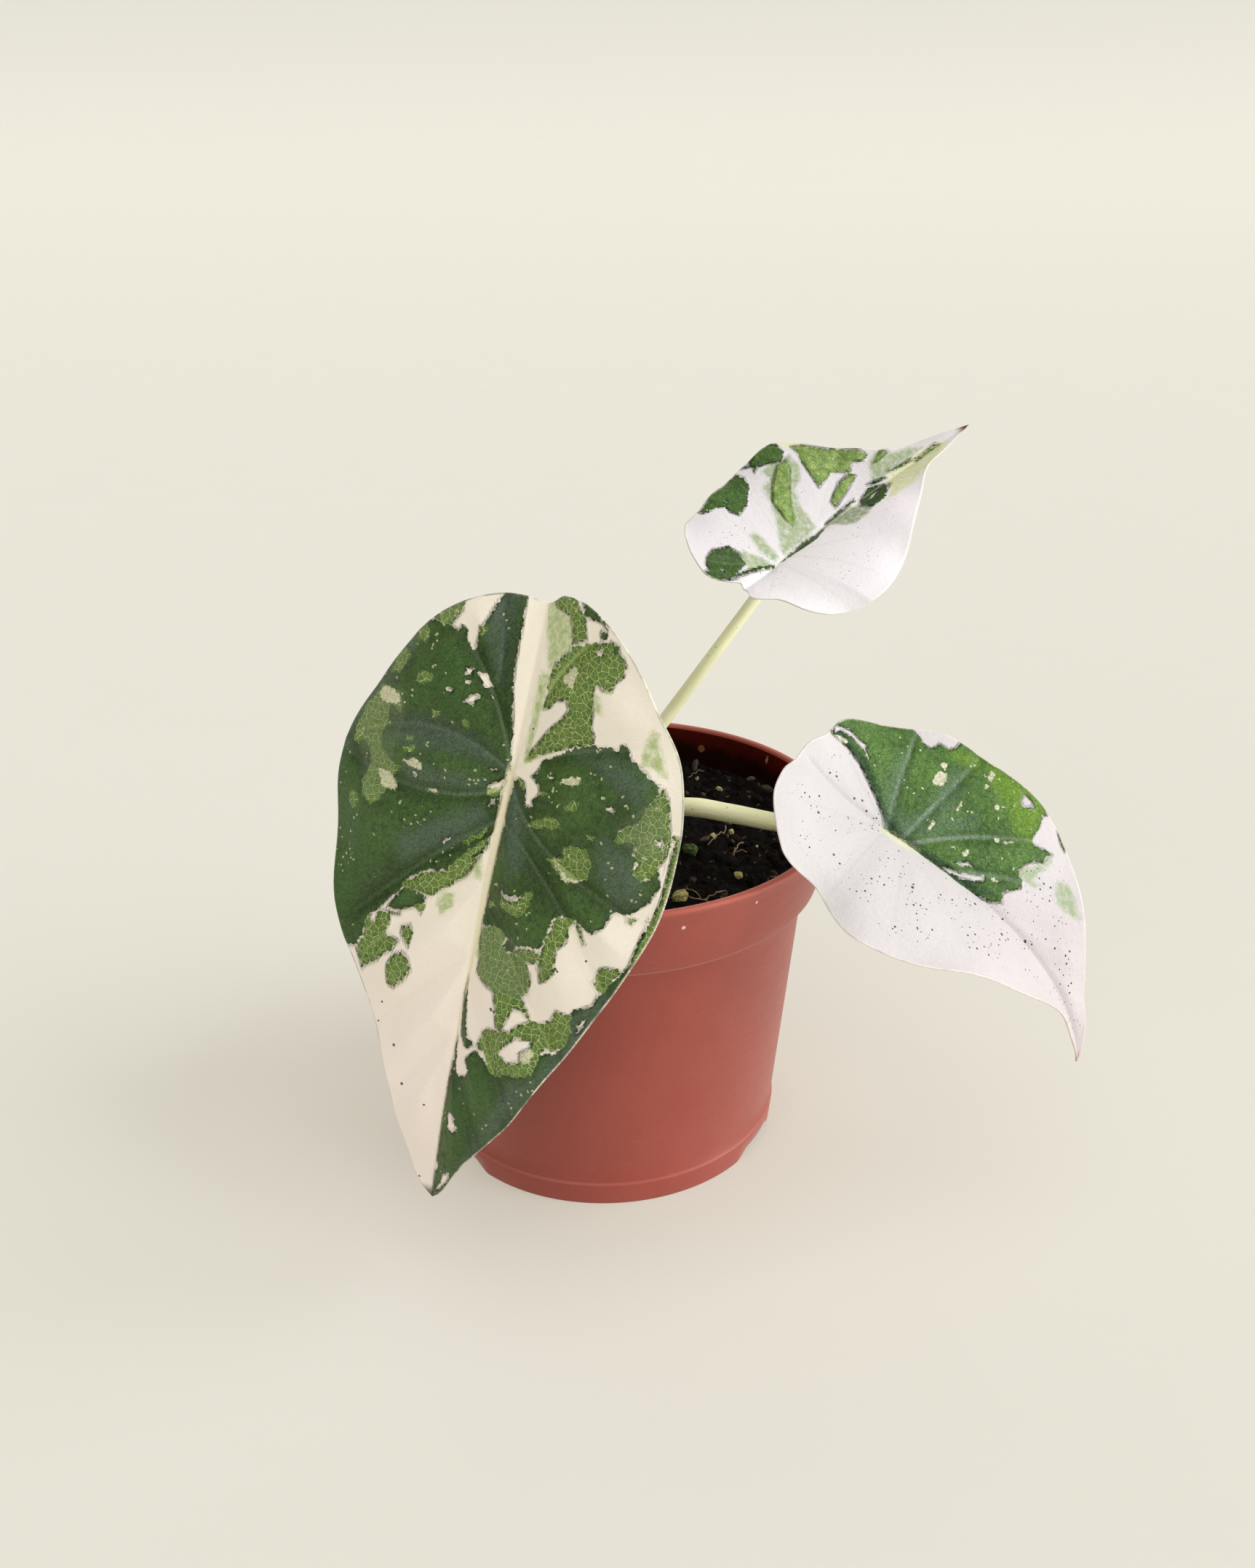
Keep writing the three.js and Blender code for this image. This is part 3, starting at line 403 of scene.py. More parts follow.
BACK_PATCHES = [
    ("haze", [
        (1, -2, 3, -9, 7.5, -8.6, 8, -7, 4, -3.5),
        (1, -0.5, 6, -2.8, 10, -2, 9.8, 0.2, 4, 1, 1.5, 1.3),
        (0.8, 3, 2.5, 3, 6, 5.5, 10, 8, 13, 9.7, 17.5, 11.5, 18, 14.5, 20.8, 15, 21.5, 19,
         20.2, 21, 20.5, 24.5, 16, 24, 13.5, 21, 12.5, 18, 8, 16, 1.5, 15.8, 0.8, 12),
        (-7, 21.5, -4, 20, 0, 20, 0.5, 28, -3, 28.5, -6, 30.2, -7, 27),
        (1.5, 36, 4, 38, 7, 40, 8, 43, 5, 47.5, 4.5, 50, 2, 54),
    ]),
    ("lime", [
        (-7, 34, -4, 38, 0, 40, 1.5, 45, 1.5, 50, 0.8, 59, -1.6, 60, -6, 51, -7.2, 45),
        (22, 26, 25, 25, 24, 28, 21, 30.5, 18, 33.5, 19.5, 29),
    ]),
    ("fresh", [
        (5, 10.5, 8, 10, 13, 10.5, 15.5, 13, 18.5, 17, 20, 20, 19.6, 23, 16.5, 21, 13, 17, 9, 14, 6, 12.4),
        (9, 24, 12, 24.5, 17, 25.5, 20, 27, 22, 27, 20.5, 30.2, 17, 33.3, 14, 36.3, 11, 40,
         8.8, 41, 8, 39, 9.5, 36.5, 7.5, 34, 10.5, 30, 9.5, 27),
        (2.4, 24.2, 4.4, 24, 7, 29, 7.6, 33, 6, 34.8, 4.5, 31),
        (5.5, 40, 7.6, 44, 6.5, 45.8),
        (-0.6, 51.5, 0.3, 50.5, 1, 57, 0.3, 58),
    ]),
    ("dark", [
        (5, -23.3, 7.7, -25, 8.3, -21.3, 9.5, -21.8, 11, -19.5, 12.2, -15.2, 11.3, -12, 10.8, -10,
         8, -8.3, 5, -9, 4.5, -12, 3.5, -15.5, 4.5, -18.5),
        (21.5, -8.2, 25, -9, 27, -2, 27, 5, 26, 9.5, 22.5, 10.5, 19.5, 8.5, 18.5, 6.5, 16.5, 4,
         15.5, 0, 17.5, -1.5, 19.5, -1.2, 20.3, -4),
        (26, 11, 24.5, 14, 27.5, 20, 24.5, 24.3, 22, 24, 20, 21, 21.5, 18.5, 22.5, 15.5, 22, 13.5,
         23.5, 14.5),
        (-6.2, 30, -3, 29, -1, 30, 0.5, 32, 1.3, 35, 0, 39.7, -2, 39, -4.5, 36.5, -5.8, 34),
        (0, -1.5, 1.2, -4.5, 2.6, -9, 3.3, -13.5, 4.1, -13.3, 3.4, -9, 1.9, -4.5, 0.6, -1),
        (0, 0.5, 0.3, 10, 0, 18.5, -0.8, 17, -2, 13, -2.2, 10.5, -1.2, 6.5, -0.4, 3),
        (0.2, 19, 0.7, 19, 1.5, 30, 0.9, 30),
        (2, 36, 2.5, 36, 1.3, 41, 0.8, 41),
        (1.5, 43, 2.1, 43, 1.3, 50, 0.8, 50),
    ]),
    ("cream", [
        (6.3, -17.6, 7.2, -17.4, 7, -16.6, 6.4, -16.6),
        (19.8, -0.5, 20.6, -0.4, 20.5, 0.5, 19.8, 0.4),
        (-2.6, 32, -1.8, 32.4, -1.2, 36.4, -1.8, 36),
    ]),
]

RIGHT_PATCHES = [
    ("dark", [
        (0, 0, 0.3, -0.6, 3, -3, 5.5, -6, 8, -10, 10.5, -14.5, 11.5, -19, 11, -22.5, 10.5, -25.3,
         13, -28, 16, -27.5, 20, -24.5, 25, -17.5, 29, -12.5, 31, -9, 30, -5, 28, -2.5, 27.8, 0.3,
         29.5, 1, 31, 1.5, 30.7, 4, 32.5, 5.3, 36, 6, 38, 10, 38, 15, 36.5, 20, 34, 26,
         30.5, 30.5, 29, 29.7, 26.5, 30.2, 21, 30.2, 21.5, 33, 22.5, 36, 19, 35.3, 16.5, 32.8,
         14.5, 31.7, 12, 31.5, 11, 33.3, 9.5, 34.3, 7, 32.5, 5, 31.3, 3, 32.5, 1, 30, 0, 26,
         -1.2, 21, -1, 16, -0.8, 11, 0, 6),
        (26, 38.5, 27, 36.5, 31, 33, 31, 38),
    ]),
    # Painted sheen: blue-grey patches near the joint and beside the veins.
    ("painted_sheen", [
        (2, -1.5, 8, -5.5, 16, -7, 22, -6, 18, -3, 10, -1.5, 5, 1, 12, 10, 17, 17, 14, 18, 7, 12, 2, 6),
        (5, 8, 20, 6, 26, 8, 22, 11, 10, 12),
    ]),
    # Painted shade in the crease along the midrib, near the joint.
    ("deep", [
        (0.5, 0, 4, -4, 8, -10, 11, -18, 11, -26, 14, -24, 13, -14, 8, -6, 3, -0.5, 1.5, 5, 1.5, 20,
         3, 30, 0, 26, -1, 16),
    ]),
    ("bright", [
        (20, 27, 23, 24, 26, 20, 28, 16.5, 31, 14.5, 35, 13.5, 34.5, 22, 31, 31, 27, 30.5, 21, 30.5),
        (29, 5, 33, 6, 34, 12, 30, 12),
    ]),
    ("lime", [
        (-2.4, -1, -0.2, -1.4, 0, 8.5, -1.4, 9.5, -2.8, 5),
    ]),
    ("haze", [
        (11.3, 33, 12.5, 31.3, 15, 33, 17, 34.5, 20, 36, 22.8, 36.5, 19.5, 37, 16, 35.8,
         13, 35.5, 13.8, 38, 12, 36.5),
        (15.5, 41.2, 18, 40.5, 19.8, 42.8, 18.5, 45.5, 16.5, 47.5, 15.8, 50, 14, 48, 13.5, 43.5),
        (28, 23.5, 31, 23, 30.5, 27, 28.5, 27.6),
    ]),
    ("cream", [
        (12.5, -25.8, 14.5, -24, 16, -21, 16, -17.5, 16.5, -15.5, 15, -15, 13.5, -13, 14.5, -16,
         14.8, -20, 13.5, -23.5, 11.5, -24.5),
        (0, 16, 0.8, 16.4, 1.6, 20, 3.4, 22.6, 5.2, 25.4, 4.4, 26, 2.4, 24.6, 0.7, 20.4),
        (3, 17.8, 5.7, 20.4, 5.2, 22, 4, 20.5),
        (27.5, 25, 29, 23.7, 31, 24, 30.5, 26, 29.5, 27, 28, 25.8),
    ]),
    ("pale", [
        (11.6, -23.6, 12.3, -22.6, 12.7, -20.4, 12, -20.2, 11.3, -22),
        (18, 4.4, 19.2, 3.8, 21.5, 3.9, 23.2, 4.4, 22.8, 5.6, 23.6, 6.2, 21.5, 6.8, 19.6, 6.6, 18.4, 5.2),
        (24, 5.3, 24.4, 4, 25.4, 3.6, 25.9, 4.8, 25.2, 5.7),
        (6, 8.3, 9, 8.4, 8.8, 8.9, 6.2, 8.8),
        (12.2, 11.7, 12.9, 11.8, 12.8, 12.3, 12.2, 12.2),
        (15.4, 12, 18.6, 12.1, 18.4, 12.5, 15.6, 12.5),
        (25.5, 15.5, 27.2, 15.3, 27, 15.9, 25.7, 15.9),
        (28.4, 15.4, 30.2, 15.1, 32, 15, 31.8, 16.1, 30, 16, 28.6, 15.9),
        (28.9, 13.8, 29.6, 14, 29.3, 14.6),
        (5.8, 15.2, 6.9, 15.9, 6.3, 16.3),
        (19.9, 21.2, 20.8, 20.9, 20.6, 21.5),
        (22, 19.5, 23.7, 19.4, 23.2, 20.1, 22.2, 20),
        (23.6, 21, 24.3, 21.2, 23.9, 21.6),
        (26, 22.6, 26.8, 22.7, 26.5, 23.2),
        (29.3, 21.3, 30, 21.3, 29.8, 22),
        (14.7, 22.7, 15.3, 23, 15.7, 24.6, 15, 24.2),
        (15.4, 24.9, 16.6, 25.6, 18, 26.9, 17.3, 27, 15.8, 25.8),
        (5.7, 27.4, 6.3, 27.2, 6.9, 29.3, 6.2, 28.8),
        (23.6, 28.5, 24.3, 28.9, 23.8, 29.3),
        (5.6, 18.9, 6.4, 18.1, 7.7, 18.5, 8.5, 18.2, 8.2, 19.1, 6.6, 19.4),
    ]),
]


def rgb(red, green, blue):
    """A colour as it looks on screen, 0 to 255, as the linear values that a shader takes."""
    shares = np.array([red, green, blue]) / 255
    linear = np.where(shares <= 0.04045, shares / 12.92, ((shares + 0.055) / 1.055) ** 2.4)
    return (*linear.tolist(), 1.0)


def unit(vector):
    """The vector at length one."""
    vector = np.asarray(vector, float)
    return vector / np.linalg.norm(vector)


def smooth_step(value):
    """Change from 0 to 1 with a soft start and end."""
    value = np.clip(value, 0, 1)
    return value * value * (3 - 2 * value)


def ridge(height, width, away):
    """Height of a rounded ridge at points that lie away from its line."""
    return height * np.exp(-(away / width) ** 2)


def bow(start, middle, end, count):
    """Points on a curve from start to end that bends towards the middle point."""
    share = np.linspace(0, 1, count)[:, None]
    return (1 - share) ** 2 * start + 2 * share * (1 - share) * middle + share ** 2 * end


def ring_skin(rings, sides):
    """Faces over rings of points that follow each other, with a cap at each end."""
    faces = []
    for ring in range(rings - 1):
        for corner in range(sides):
            a = ring * sides + corner
            b = ring * sides + (corner + 1) % sides
            faces.append((a, b, b + sides, a + sides))
    last = (rings - 1) * sides
    faces.append(tuple(range(sides - 1, -1, -1)))
    faces.append(tuple(range(last, last + sides)))
    return faces


def join(bodies):
    """Several bodies, each with its own points and faces, as one."""
    faces = []
    offset = 0
    for points, body_faces in bodies:
        faces += [tuple(corner + offset for corner in face) for face in body_faces]
        offset += len(points)
    return np.concatenate([points for points, _ in bodies]), faces


class Shader:
    """One material's node tree, built with short calls."""

    def __init__(self, name):
        self.material = bpy.data.materials.new(name)
        self.material.use_nodes = True
        self.tree = self.material.node_tree
        self.tree.nodes.clear()

    def plug(self, socket, value):
        if isinstance(value, bpy.types.NodeSocket):
            self.tree.links.new(value, socket)
        else:
            socket.default_value = value

    def node(self, kind, *values, **settings):
        """A new node with its first sockets filled in order."""
        made = self.tree.nodes.new(kind)
        for key, value in settings.items():
            setattr(made, key, value)
        for socket, value in zip(made.inputs, values):
            self.plug(socket, value)
        return made

    def fill(self, made, **sockets):
        """The node with sockets filled by name."""
        for key, value in sockets.items():
            self.plug(made.inputs[key.replace("_", " ")], value)
        return made

    def math(self, operation, *values):
        return self.node("ShaderNodeMath", *values, operation=operation).outputs[0]

    def vector(self, operation, *values):
        made = self.node("ShaderNodeVectorMath", *values, operation=operation)
        return made.outputs["Value" if operation in ("DOT_PRODUCT", "DISTANCE") else "Vector"]

    def scaled(self, vector, factor):
        made = self.node("ShaderNodeVectorMath", vector, operation="SCALE")
        return self.fill(made, Scale=factor).outputs["Vector"]

    def step(self, value, low, high, to_low=0.0, to_high=1.0):
        """Smooth change from to_low to to_high as value goes from low to high."""
        return self.node("ShaderNodeMapRange", value, low, high, to_low, to_high,
                         interpolation_type="SMOOTHSTEP").outputs[0]

    def mix(self, factor, below, above):
        """Colour between two colours."""
        made = self.node("ShaderNodeMix", factor, data_type="RGBA")
        self.plug(made.inputs[6], below)
        self.plug(made.inputs[7], above)
        return made.outputs[2]

    def blend(self, factor, below, above):
        """Plain number between two numbers."""
        made = self.node("ShaderNodeMix", factor, data_type="FLOAT")
        self.plug(made.inputs[2], below)
        self.plug(made.inputs[3], above)
        return made.outputs[0]

    def attribute(self, name):
        return self.node("ShaderNodeAttribute", attribute_name=name).outputs["Vector"]

    def split(self, vector):
        return self.node("ShaderNodeSeparateXYZ", vector).outputs

    def place(self):
        """Place on the object, in millimetres."""
        return self.scaled(self.node("ShaderNodeTexCoord").outputs["Object"], 1 / MM)

    def noise(self, at, size, detail=3.0, rough=0.55, output="Fac"):
        made = self.node("ShaderNodeTexNoise")
        return self.fill(made, Vector=at, Scale=1 / size, Detail=detail, Roughness=rough).outputs[output]

    def cells(self, at, size, output="Distance", feature="F1", flat=True):
        made = self.node("ShaderNodeTexVoronoi", feature=feature,
                         voronoi_dimensions="2D" if flat else "3D")
        return self.fill(made, Vector=at, Scale=1 / size).outputs[output]

    def bump(self, height, depth, strength=1.0, below=None):
        """Normal for a height of 0 to 1 that stands for depth millimetres."""
        made = self.node("ShaderNodeBump")
        self.fill(made, Strength=strength, Distance=depth * MM, Height=height)
        if below is not None:
            self.fill(made, Normal=below)
        return made.outputs[0]

    def finish(self, **sockets):
        """The material, with a surface whose sockets are filled by name."""
        shader = self.fill(self.node("ShaderNodeBsdfPrincipled"), **sockets)
        output = self.node("ShaderNodeOutputMaterial")
        self.tree.links.new(shader.outputs[0], output.inputs["Surface"])
        return self.material


def build_mesh(name, points, faces, materials, smooth=True, attributes=None, material_of=None):
    """A mesh object from points in millimetres. Attributes are rows of three numbers a point."""
    mesh = bpy.data.meshes.new(name)
    mesh.from_pydata((np.asarray(points) * MM).tolist(), [], faces)
    mesh.validate()
    for key, rows in (attributes or {}).items():
        layer = mesh.attributes.new(key, "FLOAT_VECTOR", "POINT")
        layer.data.foreach_set("vector", np.asarray(rows, np.float32).ravel())
    for material in materials:
        mesh.materials.append(material)
    if material_of is not None:
        mesh.polygons.foreach_set("material_index", material_of)
    mesh.polygons.foreach_set("use_smooth", [smooth] * len(mesh.polygons))
    piece = bpy.data.objects.new(name, mesh)
    bpy.context.scene.collection.objects.link(piece)
    return piece


def settle(piece, slot, *nodes):
    """The piece belongs to the plant's one body, and may stand for some of its plain solids."""
    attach(piece, "root")
    if nodes:
        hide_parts(*nodes)


# Leaves

def value_between(angles, values, angle):
    """Smooth curve through values at known angles that never overshoots them."""
    angles = np.asarray(angles, float)
    values = np.asarray(values, float)
    slopes = np.diff(values) / np.diff(angles)
    before, after = slopes[:-1], slopes[1:]
    inner = np.zeros(len(before))
    same = before * after > 0
    inner[same] = 2 * before[same] * after[same] / (before[same] + after[same])
    tangents = np.concatenate([slopes[:1], inner, [0]])
    cell = np.clip(np.searchsorted(angles, angle) - 1, 0, len(slopes) - 1)
    width = np.diff(angles)[cell]
    s = (angle - angles[cell]) / width
    rise = (1 - s) ** 2 * s * width * tangents[cell]
    fall = s * s * (s - 1) * width * tangents[cell + 1]
    ease = s * s * (3 - 2 * s)
    return values[cell] * (1 - ease) + values[cell + 1] * ease + rise + fall


def segment_gaps(points, starts, ends):
    """Offsets and distances from points to line pieces, one column for each piece."""
    edge = ends - starts
    from_start = points[:, None] - starts[None]
    share = (from_start * edge).sum(2) / np.maximum((edge ** 2).sum(1), 1e-9)
    away = from_start - edge * np.clip(share, 0, 1)[..., None]
    return away, np.hypot(away[..., 0], away[..., 1])


def vein_gap(veins, x, t):
    """Distance of flat points of one half of a blade from its main veins, midrib left out."""
    nearest = np.full(len(x), 1e9)
    points = np.stack([x, t], 1)
    for start, middle, end in np.array(veins, float):
        curve = bow(start, middle, end, VEIN_POINTS)
        nearest = np.minimum(nearest, segment_gaps(points, curve[:-1], curve[1:])[1].min(1))
    return nearest


def blade_axes(blade):
    """Ways to the tip, out of the upper face and across the blade."""
    tip = unit(blade["tip"])
    face = np.asarray(blade["face"], float)
    face = unit(face - tip * face.dot(tip))
    return tip, face, np.cross(face, tip)


def droop_angle(droop, share):
    """How far the blade has bent down at a share of its length, in radians."""
    return np.where(share > 0, droop["joint"] * share + droop["tip"] * share ** 2,
                    droop["back"] * share)


def blade_surface(blade, x, t, rim):
    """Middle of the blade's thickness, its normal, and each point's distance from a side vein."""
    length = blade["left"][0]
    tip, face, across = blade_axes(blade)
    on_right = x >= 0
    share = t / length
    ahead = np.maximum(share, 0)
    behind = np.maximum(-share, 0)
    out = np.abs(x)

    def bend(kind):
        joint, to_tip, to_back = (np.where(on_right, pair[1], pair[0]) for pair in kind.values())
        return joint + to_tip * ahead + to_back * behind

    along = np.zeros(len(x))
    sink = np.zeros(len(x))
    for step in range(DROOP_STEPS):
        turn = droop_angle(blade["droop"], share * (step + 0.5) / DROOP_STEPS)
        along += np.cos(turn) * t / DROOP_STEPS
        sink += np.sin(turn) * t / DROOP_STEPS
    fold = bend(blade["fold"])
    curl = bend(blade["curl"]) / length
    angle = fold + curl * out
    reach = (np.sin(angle) - np.sin(fold)) / curl
    lift = (np.cos(fold) - np.cos(angle)) / curl
    sweep = length * (blade["sweep"]["tip"] * ahead ** 2 + blade["sweep"]["back"] * behind ** 2)
    turn = droop_angle(blade["droop"], share)
    up = face * np.cos(turn)[:, None] + tip * np.sin(turn)[:, None]
    outwards = across * np.where(on_right, 1, -1)[:, None]
    crease = smooth_step(out / 4)
    normal = up * (1 - crease + crease * np.cos(angle))[:, None]
    normal = normal - outwards * (np.sin(angle) * crease)[:, None]
    normal /= np.linalg.norm(normal, axis=1)[:, None]
    side_vein = np.empty(len(x))
    for half, veins in zip((~on_right, on_right), blade["veins"]):
        side_vein[half] = vein_gap(veins, out[half] / length, share[half]) * length
    vein = np.minimum(side_vein, out)
    panel = 1 - ridge(1, PANEL_WIDTH, vein)
    fade = smooth_step(rim / 0.35) * (1 - 0.6 * smooth_step((rim - 0.75) / 0.25))
    wave = MARGIN_WAVE * rim ** 4 * np.sin(share * 19 + np.where(on_right, 2, 0)) * smooth_step(out / 8)
    points = (np.array(blade["joint"], float) + tip * along[:, None] - face * sink[:, None]
              + outwards * reach[:, None] + across * sweep[:, None] + up * lift[:, None]
              + normal * (blade["relief"] * PANEL_RISE * panel * fade + wave)[:, None])
    return points, normal, side_vein


def tone_field(points, outlines):
    """For each flat point the way in which its depth inside the outlines grows, and that depth."""
    field = np.zeros((len(points), 3))
    field[:, 2] = -TONE_REACH
    for outline in outlines:
        corners = np.array(outline, float).reshape(-1, 2)
        inside = (points > corners.min(0) - TONE_REACH) & (points < corners.max(0) + TONE_REACH)
        near = np.flatnonzero(np.all(inside, axis=1))
        if len(near) == 0:
            continue
        ends = np.roll(corners, -1, 0)
        away, gap = segment_gaps(points[near], corners, ends)
        first = gap.argmin(1)
        row = np.arange(len(near))
        x, t = points[near, 0][:, None], points[near, 1][:, None]
        rise = np.where(ends[:, 1] == corners[:, 1], 1e-9, ends[:, 1] - corners[:, 1])
        cut = (ends[:, 0] - corners[:, 0]) * (t - corners[:, 1]) / rise + corners[:, 0]
        crossed = ((corners[:, 1] > t) != (ends[:, 1] > t)) & (x < cut)
        sign = np.where(crossed.sum(1) % 2 == 1, 1.0, -1.0)
        depth = gap[row, first] * sign
        grows = away[row, first] / np.maximum(gap[row, first], 1e-6)[:, None] * sign[:, None]
        deeper = depth > field[near, 2]
        field[near[deeper], :2] = grows[deeper]
        field[near[deeper], 2] = depth[deeper]
    return field


def blade_grid(blade):
    """Flat points of a blade: rays from the petiole joint, closer near the tip, cut by rings.

    After x and t come each point's share of the way to the margin and its distance from it.
    """
    half_sectors = blade["half_sectors"]
    sector = np.arange(2 * half_sectors)
    angle = 180 * (np.abs(sector - half_sectors) / half_sectors) ** 1.3
    on_left = sector < half_sectors
    edge = np.where(on_left, value_between(MARGIN_ANGLES, blade["left"], angle),
                    value_between(MARGIN_ANGLES, blade["right"], angle))
    rim = (np.arange(1, blade["rings"] + 1) / blade["rings"]) ** 0.85
    radius = rim[:, None] * edge[None]
    turn = np.radians(angle)
    x = radius * np.sin(turn) * np.where(on_left, -1, 1)
    x[:, [0, half_sectors]] = 0
    t = radius * np.cos(turn)
    rims = np.broadcast_to(rim[:, None], radius.shape)
    to_edge = (1 - rim)[:, None] * edge[None]
    return [np.concatenate([[start], grid.ravel()])
            for start, grid in ((0, x), (0, t), (0, rims), (edge.min(), to_edge))]


def blade_skins(blade, points, normal, side_vein, x, rim):
    """Upper side with its grooves, underside with its ribs, and the middle of the edge."""
    out = np.abs(x)
    thin = smooth_step((rim - 0.8) / 0.2)
    half_thickness = (BLADE_THICKNESS * (1 - thin) + MARGIN_THICKNESS * thin) / 2
    groove = (ridge(MIDRIB_GROOVE, MIDRIB_GROOVE_WIDTH, out)
              + ridge(VEIN_GROOVE * min(1, blade["relief"]), VEIN_GROOVE_WIDTH, side_vein))
    rib = (ridge(MIDRIB_DEPTH * (1 - rim), MIDRIB_WIDTH, out)
           + ridge(VEIN_DEPTH * (1 - rim) ** 0.5, VEIN_WIDTH, side_vein))
    upper = points + normal * (half_thickness - groove * smooth_step((1 - rim) / 0.15))[:, None]
    lower = points - normal * (half_thickness + rib)[:, None]
    sectors = 2 * blade["half_sectors"]
    outwards = points[-sectors:] - points[-2 * sectors:-sectors]
    outwards /= np.linalg.norm(outwards, axis=1)[:, None]
    margin = points[-sectors:] + outwards * MARGIN_THICKNESS * 0.4
    return np.concatenate([upper, lower, margin])


def blade_faces(rings, sectors):
    """Faces of the upper side and of the underside, each with its half of the edge."""
    count = 1 + rings * sectors
    sector = np.arange(sectors)
    following = (sector + 1) % sectors
    upper = [(0, 1 + a, 1 + b) for a, b in zip(sector, following)]
    for ring in range(rings - 1):
        inner_a = 1 + ring * sectors + sector
        inner_b = 1 + ring * sectors + following
        upper += zip(inner_a, inner_a + sectors, inner_b + sectors, inner_b)
    lower = [tuple(corner + count for corner in reversed(face)) for face in upper]
    outer_a = count - sectors + sector
    outer_b = count - sectors + following
    edge_a = 2 * count + sector
    edge_b = 2 * count + following
    upper += zip(outer_a, edge_a, edge_b, outer_b)
    lower += zip(edge_a, outer_a + count, outer_b + count, edge_b)
    return [[tuple(int(corner) for corner in face) for face in side] for side in (upper, lower)]


def blade_attributes(blade, patches, x, t, side_vein, to_edge):
    """Flat place, depth in each tone and lie of the points above, below and on the edge."""
    def on_all(rows):
        return np.concatenate([rows, rows, rows[-2 * blade["half_sectors"]:]])

    flat = np.stack([x, t, np.zeros(len(x))], 1)
    attributes = {"flat": on_all(flat)}
    leafy = np.zeros(len(x))
    for index, (tone, outlines) in enumerate(patches):
        field = tone_field(flat[:, :2], outlines)
        attributes[f"tone_{index}"] = on_all(field)
        if tone not in SOFT_TONES:
            mask = smooth_step(field[:, 2] / 1.2 + 0.5)
            leafy = leafy * (1 - mask) + mask * (tone != "cream")
    attributes["lie"] = on_all(np.stack([side_vein, to_edge, leafy], 1))
    return attributes


def leaf_blade(place, patches, looks):
    """A blade with raised panels above, ribs below, a thin rounded margin and its tone fields."""
    name = f"leaf_{place}"
    blade = BLADES[place]
    x, t, rim, to_edge = blade_grid(blade)
    middle, normal, side_vein = blade_surface(blade, x, t, rim)
    points = blade_skins(blade, middle, normal, side_vein, x, rim)
    upper, lower = blade_faces(blade["rings"], 2 * blade["half_sectors"])
    length = blade["left"][0]
    materials = [leaf_skin(name, length, patches, looks, under) for under in (False, True)]
    piece = build_mesh(name, points, upper + lower, materials,
                       attributes=blade_attributes(blade, patches, x, t, side_vein, to_edge),
                       material_of=[0] * len(upper) + [1] * len(lower))
    settle(piece, "leaf_variegated", f"leaf_blade_{place}")


# Looks of each blade. A pair of colours is mixed by noise or by place: the ground's along t, between
# the two values of blush. midrib_reach is the length over which the midrib narrows, and its half
# widths at the joint and beyond that length. Dots are (x, t, radius). crease is how strongly
# shade is painted in the deep colour beside the side veins.
FRONT_LOOKS = {
    "ground": (rgb(252, 242, 224), rgb(249, 234, 223)),
    "blush": (20, 90),
    "dark": (rgb(48, 77, 18), rgb(73, 108, 41)),
    "deep": rgb(20, 42, 8),
    "painted_sheen": rgb(102, 116, 108),
    "bright": rgb(62, 100, 34),
    "net": (rgb(78, 112, 30), rgb(106, 140, 50)),
    "net_line": rgb(204, 218, 140),
    "mist": rgb(132, 146, 116),
    "sage": rgb(190, 202, 144),
    "lime": rgb(212, 214, 160),
    "midrib": rgb(232, 224, 190),
    "midrib_reach": (72, 1.3, 0.22),
    "midrib_share": 0.85,
    # The front blade's vein lines are the veins' own pale colour and also a painted highlight on their
    # ridges.
    "vein": rgb(150, 166, 132),
    "vein_share": 0.3,
    "vein_width": 0.8,
    "crease": 0.4,
    "shine": 0.42,
    "margin": (rgb(150, 156, 132), rgb(236, 220, 206)),
    "light_specks": 0.8,
    "dark_specks": 0.0,
    "speck": rgb(34, 34, 22),
    "dots": [(-14.5, 69.6, 0.42), (-20.1, 61, 0.32), (-20.3, 66, 0.28), (-11, 78.5, 0.4), (-4.5, 81.5, 0.3),
             (-3.7, 102, 0.3), (10, 51.2, 0.5), (11, 51.3, 0.4), (24, 36, 0.4), (24.6, 36.3, 0.3),
             (29.9, 32.3, 0.3), (4, -10.8, 0.3)],
    "tip": rgb(120, 112, 96),
}
SMALL_LEAF_LOOKS = {
    "midrib": rgb(206, 212, 170),
    "midrib_reach": (60, 0.5, 0.2),
    "shine": 0.3,
}
BACK_LOOKS = {
    **SMALL_LEAF_LOOKS,
    "ground": (rgb(242, 236, 240), rgb(242, 232, 238)),
    # Painted shade: the right half's ground is darker.
    "painted_shade_right_half": rgb(207, 201, 205),
    "blush": (0, 60),
    "dark": (rgb(32, 66, 8), rgb(60, 98, 28)),
    "deep": rgb(26, 50, 12),
    "net": (rgb(104, 136, 58), rgb(146, 170, 92)),
    "net_line": rgb(166, 180, 118),
    "sage": rgb(142, 155, 122),
    "lime": rgb(208, 212, 150),
    "midrib_share": 0.25,
    "vein": rgb(166, 180, 118),
    "vein_share": 0.1,
    "vein_width": 0.7,
    "crease": 0.2,
    "margin": (rgb(232, 226, 212), rgb(236, 222, 214)),
    "light_specks": 0.35,
    "dark_specks": 0.6,
    "speck": rgb(40, 42, 26),
    "dots": [],
    "tip": rgb(96, 56, 42),
}
